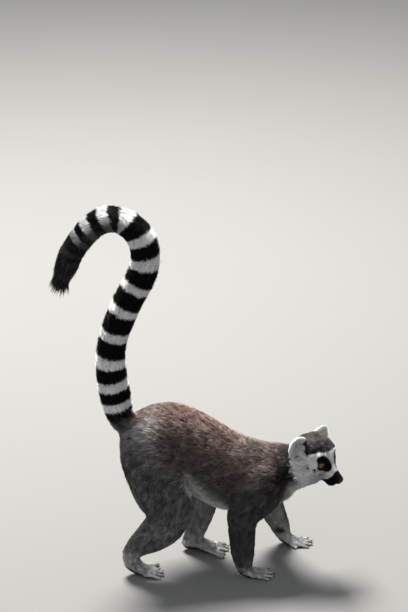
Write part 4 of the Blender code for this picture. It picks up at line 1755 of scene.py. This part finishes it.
    def chart(self, hide: Hide, chosen: np.ndarray, root: np.ndarray) -> np.ndarray:
        """Unwraps the skin round the axes of its parts.

        Args:
            hide: the skin.
            chosen: the triangle of each root.
            root: the places of the roots.

        Returns:
            Each root's place on the map, from 0 to 1.
        """
        made = np.zeros((len(root), 2))
        owner = hide.part[hide.triples[chosen, 0]]
        floor = 0.0
        for number in np.unique(owner):
            here = owner == number
            part, share = PARTS[number], here.mean()
            if part.region is Region.TAIL:
                near = TAIL.nearest(root[here])
                run, axis = TAIL.run[near], TAIL.tangents[near]
                offset = root[here] - TAIL.points[near]
            else:
                start, end = axis_of(part)
                axis = np.tile(unit(end - start), (here.sum(), 1))
                offset = root[here] - (start + end) / 2
                run = (offset * axis).sum(1)
            sideways = unit(np.cross(axis, (0.05, 1.0, 0.02)))
            angle = np.arctan2((offset * np.cross(axis, sideways)).sum(1),
                               (offset * sideways).sum(1)) / (2 * math.pi) + 0.5
            run = (run - run.min()) / max(np.ptp(run), TINY)
            made[here, 0] = angle
            made[here, 1] = floor + share * (self.strip_span[0] + self.strip_span[1] * run)
            floor += share
        return self.map_span[0] + made * self.map_span[1]

    def corner_rings(self) -> list[tuple[float, int]]:
        """Returns how wide a tuft is at each ring of three corners, and the ring's level."""
        return [(0.75, 0), (1.0, 1)] if self.strand is Strand.LOCK else [(1.0, 0)]

    def tuft_faces(self) -> np.ndarray:
        """Lists the triangles of one tuft: a foot, a wall between its rings, and a point.

        Returns:
            The vertices of each triangle.
        """
        faces = [(0, 2, 1)]
        for ring in range(len(self.corner_rings()) - 1):
            for corner in range(3):
                one, two = ring * 3 + corner, ring * 3 + (corner + 1) % 3
                faces += [(one, two, two + 3), (one, two + 3, one + 3)]
        point = self.strand.value - 1
        last = point - 3
        faces += [(last + k, last + (k + 1) % 3, point) for k in range(3)]
        return np.array(faces)

    def mesh(self, tufts: Tufts) -> bpy.types.Object:
        """Makes all tufts as one mesh, with their map and their attributes.

        Args:
            tufts: the tufts.

        Returns:
            The piece's object.
        """
        root, _, tip = tufts.line
        count, size = len(root), self.strand.value
        spine = unit(tip - root)
        upward = unit(across(tufts.normal, spine))
        sideways = np.cross(upward, spine)
        places = np.empty((count, size, 3))
        flat = np.empty((count, size, 2))
        marks = np.empty((count, size, 3))
        along = np.empty((count, size))
        for ring, (share, level) in enumerate(self.corner_rings()):
            for corner in range(3):
                angle = math.radians(90 + 120 * corner)
                at = ring * 3 + corner
                half = (tufts.width * share / 2)[:, None]
                places[:, at] = (tufts.line[level] + sideways * math.cos(angle) * half
                                 + upward * math.sin(angle) * half * self.flatness)
                flat[:, at] = tufts.chart + (
                    self.patch * (0.5 + 0.5 * math.cos(angle)),
                    self.patch * (0.1 + 0.4 * level + 0.1 * math.sin(angle)))
                along[:, at] = level / 2
                marks[:, at] = tufts.marking[level]
        places[:, -1] = tip
        flat[:, -1] = tufts.chart + (self.patch / 2, self.patch)
        along[:, -1] = 1.0
        marks[:, -1] = tufts.marking[2]
        places[:, :, 2] = np.maximum(places[:, :, 2], self.lowest)
        faces = self.tuft_faces()
        loops = (faces[None] + (np.arange(count) * size)[:, None, None]).reshape(-1)
        mesh = bpy.data.meshes.new(self.name)
        mesh.vertices.add(count * size)
        mesh.vertices.foreach_set("co", places.astype(np.float32).ravel())
        mesh.loops.add(len(loops))
        mesh.loops.foreach_set("vertex_index", loops.astype(np.int32))
        mesh.polygons.add(len(loops) // 3)
        mesh.polygons.foreach_set("loop_start", np.arange(0, len(loops), 3, dtype=np.int32))
        mesh.polygons.foreach_set("use_smooth", np.ones(len(loops) // 3, bool))
        layer = mesh.uv_layers.new(name="OFBake")
        layer.uv.foreach_set("vector", flat.reshape(-1, 2)[loops].astype(np.float32).ravel())
        store(mesh, "marking", marks.reshape(-1, 3))
        store(mesh, "strand", np.column_stack([along.ravel(),
                                               np.repeat(tufts.strand, size, axis=0)]))
        mesh.update(calc_edges=True)
        return add_object(self.name, mesh)

    def dress(self, obj: bpy.types.Object) -> None:
        """Gives the piece its finish and its place on the body.

        Args:
            obj: the piece.
        """
        obj.data.materials.append(TAIL_FINISH if self.slot == RINGED else COAT_FINISH)
        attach(obj, "root")


COAT_FINISH = FurFinish("coat").make()
TAIL_FINISH = FurFinish("tail_coat", ringed=True).make()


def coat_pieces() -> list[Coat]:
    """Lists the pieces of the coat.

    Returns:
        The pieces, in the order in which they are made.
    """
    paws = ("hand_left", "hand_right", "foot_left", "foot_right")
    pieces = [
        Coat("coat_rump", "russet_coat", ("trunk",), 101, high=-0.045),
        Coat("coat_back", "russet_coat", ("trunk",), 102, low=-0.045, high=0.040),
        Coat("coat_chest", "dark_coat", ("trunk", "neck"), 103, low=0.040),
        Coat("coat_head", "white_coat", ("head",), 104, high=-12.0, on_head=True, unruly=0.18),
        Coat("coat_face", "white_coat", ("head",), 105, Strand.SPIKE, low=-12.0, on_head=True),
        Coat("coat_ears", "white_coat", ("ear_left", "ear_right"), 106, Strand.SPIKE),
        Coat("coat_hands_feet", "white_coat", paws, 107, Strand.SPIKE),
    ]
    lengths = ("root", "middle", "brush")
    for number, length in enumerate(lengths):
        nodes = (TAIL_NODES[2 * number], TAIL_NODES[2 * number + 1])
        pieces.append(Coat(f"coat_tail_{length}", RINGED, nodes, 108 + number, bend=0.84,
                           unruly=0.14))
    for number, side in enumerate(SIDES):
        pieces += [
            Coat(f"coat_arm_{side}", "grey_coat", (f"upper_arm_{side}", f"forearm_{side}"),
                 120 + number),
            Coat(f"coat_leg_{side}", "grey_coat", (f"thigh_{side}", f"shank_{side}"),
                 130 + number),
        ]
    return pieces


# ---- eyes, lids, nose and nails -----------------------------------------------------------

@dataclass
class Eye:
    """One eyeball, with the bare moist edge of its lids, in the head's millimetres."""

    side: str
    radius: float = 7.1
    iris: float = 5.0
    bulge: float = 0.55
    edge_width: float = 13.0        # degrees of the ball that the lids' bare edge covers
    edge_height: float = 0.75
    edge_wall: float = 0.45
    behind: float = 2.0             # the reach that the finish reads behind the iris
    axes: EyeFrame = field(init=False)

    def __post_init__(self) -> None:
        """Sets up the eye's frame."""
        self.axes = EyeFrame(SIDES[self.side], EyeFrame.GAZE)

    def ball(self) -> bpy.types.Object:
        """Makes the eyeball, with a cornea that bulges a little.

        Returns:
            The eyeball.
        """
        bm = bmesh.new()
        bmesh.ops.create_uvsphere(bm, u_segments=64, v_segments=64, radius=self.radius)
        places = np.array([vert.co for vert in bm.verts])
        reach = np.hypot(places[:, 0], places[:, 1])
        front = np.where(places[:, 2] > 0, reach / self.iris, self.behind)
        around = places[:, :2] / np.maximum(reach, 1e-6)[:, None]
        places[:, 2] += self.bulge * np.maximum(1 - front ** 2, 0)
        turned = (places[:, :1] * self.axes.level + places[:, 1:2] * self.axes.upward
                  + places[:, 2:] * self.axes.aim)
        place_vertices(bm, HEAD.world(turned + self.axes.centre))
        bmesh.ops.recalc_face_normals(bm, faces=bm.faces)
        obj = from_bmesh(f"eyeball_{self.side}", bm)
        store(obj.data, "iris", np.column_stack([front, around]))
        return obj

    def lids(self) -> bpy.types.Object:
        """Makes the bare edge of the upper and lower lid, as one ring round the opening.

        Returns:
            The ring.
        """
        bm = bmesh.new()
        bmesh.ops.create_cone(bm, segments=72, radius1=1.0, radius2=2.0, depth=1.0)
        rims = [edge for edge in bm.edges if abs(edge.verts[0].co.z - edge.verts[1].co.z) > 0.5]
        bmesh.ops.subdivide_edges(bm, edges=rims, cuts=5)
        places = np.array([vert.co for vert in bm.verts])
        share = 0.5 - places[:, 2]
        turn = np.arctan2(places[:, 1], places[:, 0])
        polar = lid_opening(turn) + self.edge_width * share
        ridge = self.edge_height * (0.70 + 0.30 * np.sin(np.pi * np.clip(share * 1.6, 0, 1)))
        offset = self.axes.at(turn, np.radians(polar), self.radius + ridge)
        place_vertices(bm, HEAD.world(offset + self.axes.centre))
        bmesh.ops.solidify(bm, geom=bm.faces, thickness=self.edge_wall * MM)
        bmesh.ops.recalc_face_normals(bm, faces=bm.faces)
        return from_bmesh(f"lids_{self.side}", bm)

    def build(self) -> list[bpy.types.Object]:
        """Makes the eyeball and the lids and dresses them.

        Returns:
            Both pieces.
        """
        ball, lids = self.ball(), self.lids()
        ball.data.materials.append(EyeFinish(f"eye_{self.side}").make())
        lids.data.materials.append(LeatherFinish(f"lids_{self.side}", roughness=0.45).make())
        for obj, slot in ((ball, "eye"), (lids, "black_leather")):
            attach(obj, "root")
        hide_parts(f"eye_{self.side}")
        return [ball, lids]


@dataclass
class Nose:
    """The bare nose pad with its two nostrils, in the head's millimetres."""

    centre: Triple = (32.4, 0.0, -14.2)
    size: Triple = (5.6, 7.0, 5.6)
    taper: float = 0.20             # how much wider the pad is at its top than at its bottom
    nostril: Triple = (36.6, 3.6, -14.6)
    nostril_size: Triple = (3.0, 1.5, 1.15)
    nostril_tilt: float = 0.35      # how much a nostril rises to the side
    depth: float = 3.0
    groove: float = 0.7             # depth of the groove below the nostrils
    groove_width: float = 0.6

    def build(self) -> bpy.types.Object:
        """Makes and dresses the nose.

        Returns:
            The nose pad.
        """
        bm = bmesh.new()
        bmesh.ops.create_uvsphere(bm, u_segments=96, v_segments=64, radius=1)
        ball = np.array([vert.co for vert in bm.verts])
        ball[:, 1] *= 1 + self.taper * ball[:, 2]
        places = self.centre + ball * self.size
        # Each nostril is a comma, wide in front and narrow to the side.
        apart = np.column_stack([places[:, 0], np.abs(places[:, 1]), places[:, 2]])
        apart -= self.nostril
        apart[:, 2] -= self.nostril_tilt * apart[:, 1]
        pit = np.exp(-((apart / self.nostril_size) ** 2).sum(1))
        groove = np.exp(-(places[:, 1] / self.groove_width) ** 2)
        groove = groove * ramp(places[:, 2], -13.0, -14.5)
        places[:, 0] -= self.depth * pit + self.groove * groove
        place_vertices(bm, HEAD.world(places))
        obj = from_bmesh("nose_pad", bm)
        obj.data.materials.append(LeatherFinish("nose_leather", roughness=0.34,
                                                coat=0.20).make())
        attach(obj, "root")
        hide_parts("nose")
        return obj


@dataclass
class Nails:
    """The narrow dark nails of all fingers and toes, as one piece."""

    size: Triple = (2.4 * MM, 1.25 * MM, 0.8 * MM)
    digits: int = 5
    finger: float = 6.0 * MM        # reach of one digit's end
    tip_height: float = 5.0 * MM    # the digits end below this height
    setback: float = 1.3 * MM       # from the tip of a digit to the middle of its nail
    lift: float = 1.2 * MM
    droop: float = 0.42             # how far a nail bends down along its length
    taper: float = 0.55

    def tips(self, limb: str, end: str) -> list[tuple[np.ndarray, np.ndarray]]:
        """Finds the digits of one hand or foot.

        Args:
            limb: the node above the hand or foot.
            end: the node of the hand or foot.

        Returns:
            The tip of each digit and the way it points.
        """
        places = corners(end)
        heel = seam(limb, end) * (1, 1, 0)
        reach = np.linalg.norm(places - heel, axis=1)
        found = []
        for number in np.argsort(-reach):
            place = places[number]
            near = np.linalg.norm(places - place, axis=1) < self.finger
            apart = all(np.linalg.norm(place - tip) > self.finger for tip, _ in found)
            furthest = reach[number] >= reach[near].max() - TINY
            if place[2] < self.tip_height and apart and furthest:
                found.append((place, unit((place - places[near].mean(0)) * (1, 1, 0))))
        return found[:self.digits]

    def add(self, bm: bmesh.types.BMesh, tip: np.ndarray, way: np.ndarray) -> None:
        """Adds one nail: a bent, tapering plate that starts on top of the digit.

        Args:
            bm: the bmesh of all nails.
            tip: the tip of the digit.
            way: the way it points.
        """
        made = bmesh.ops.create_uvsphere(bm, u_segments=12, v_segments=10, radius=1)["verts"]
        length, width, height = self.size
        sideways = np.array((-way[1], way[0], 0))
        start = tip - way * self.setback + (0, 0, self.lift)
        for vert in made:
            along, aside, up = np.array(vert.co)
            narrow = 1 - self.taper * max(along, 0) ** 1.5
            rise = up * height * narrow - self.droop * length * (along + 1) ** 2 / 4
            vert.co = (start + way * along * length + sideways * aside * width * narrow
                       + (0, 0, rise))

    def build(self) -> bpy.types.Object:
        """Makes and dresses all nails.

        Returns:
            The nails.
        """
        bm = bmesh.new()
        for side in SIDES:
            for limb, end in (("forearm", "hand"), ("shank", "foot")):
                for tip, way in self.tips(f"{limb}_{side}", f"{end}_{side}"):
                    self.add(bm, tip, way)
        bmesh.ops.recalc_face_normals(bm, faces=bm.faces)
        obj = from_bmesh("nails", bm)
        relief = Relief(pebbles=2400.0, hairs=700.0, strength=0.5, height=0.0003)
        finish = LeatherFinish("nail_horn", dark=(0.035, 0.030, 0.027),
                               light=(0.075, 0.066, 0.060), roughness=0.32, coat=0.2,
                               relief=relief)
        obj.data.materials.append(finish.make())
        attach(obj, "root")
        return obj


# ---- studio -------------------------------------------------------------------------------

@dataclass(frozen=True)
class Light:
    """One square soft light: its place and size in metres, its power in watts, its colour."""

    name: str
    place: Triple
    size: float
    power: float
    colour: Colour
    aim: Triple = (0, 0, 0.2)       # every light faces the middle of the animal

    def build(self) -> None:
        """Adds the light."""
        data = bpy.data.lights.new(self.name, "AREA")
        data.size = self.size
        data.energy = self.power
        data.color = self.colour
        obj = bpy.data.objects.new(self.name, data)
        obj.location = self.place
        aim = Vector(self.aim) - Vector(self.place)
        obj.rotation_euler = aim.to_track_quat("-Z", "Y").to_euler()
        bpy.context.scene.collection.objects.link(obj)


@dataclass
class Studio:
    """The floor, the soft lights and the camera."""

    eye: Triple = (0.00644, -3.08249, 1.70677)
    tilt: float = 68.0              # degrees from straight down
    lens: float = 122.549
    sensor: float = 36.0
    floor_half: float = 6.0
    sun: Light = Light("sun_window", (-0.6, 1.8, 3.5), 1.3, 460.0, (1.0, 0.97, 0.93))
    fill: Light = Light("front_fill", (-1.6, -2.6, 2.2), 2.4, 22.0, (0.94, 0.97, 1.0))
    sky: Colour = (0.93, 0.96, 1.0)
    sky_strength: float = 0.39

    def build(self) -> None:
        """Makes the floor, the lights, the sky and the camera."""
        bm = bmesh.new()
        bmesh.ops.create_grid(bm, x_segments=8, y_segments=8, size=self.floor_half)
        floor = from_bmesh("studio_floor", bm)
        floor.data.materials.append(FloorFinish("floor").make())
        self.sun.build()
        self.fill.build()
        world = bpy.data.worlds.new("studio")
        world.use_nodes = True
        backdrop = world.node_tree.nodes["Background"]
        backdrop.inputs["Color"].default_value = (*self.sky, 1)
        backdrop.inputs["Strength"].default_value = self.sky_strength
        scene = bpy.context.scene
        scene.world = world
        scene.view_settings.view_transform = "Standard"
        data = bpy.data.cameras.new("camera")
        data.sensor_width = self.sensor
        data.lens = self.lens
        camera = bpy.data.objects.new("camera", data)
        camera.location = self.eye
        camera.rotation_euler = (math.radians(self.tilt), 0, 0)
        scene.collection.objects.link(camera)
        scene.camera = camera


def report(obj: bpy.types.Object) -> None:
    """Logs a finished piece."""
    LOG.info("%s: %d faces", obj.name, len(obj.data.polygons))


def main() -> None:
    """Builds every piece in order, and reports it."""
    logging.basicConfig(level=logging.INFO, format="%(name)s: %(message)s")
    Studio().build()
    hide = Hide()
    report(hide.build())
    for piece in coat_pieces():
        report(piece.build(hide))
    for side in SIDES:
        for obj in Eye(side).build():
            report(obj)
    report(Nose().build())
    report(Nails().build())


if __name__ == "__main__":
    main()
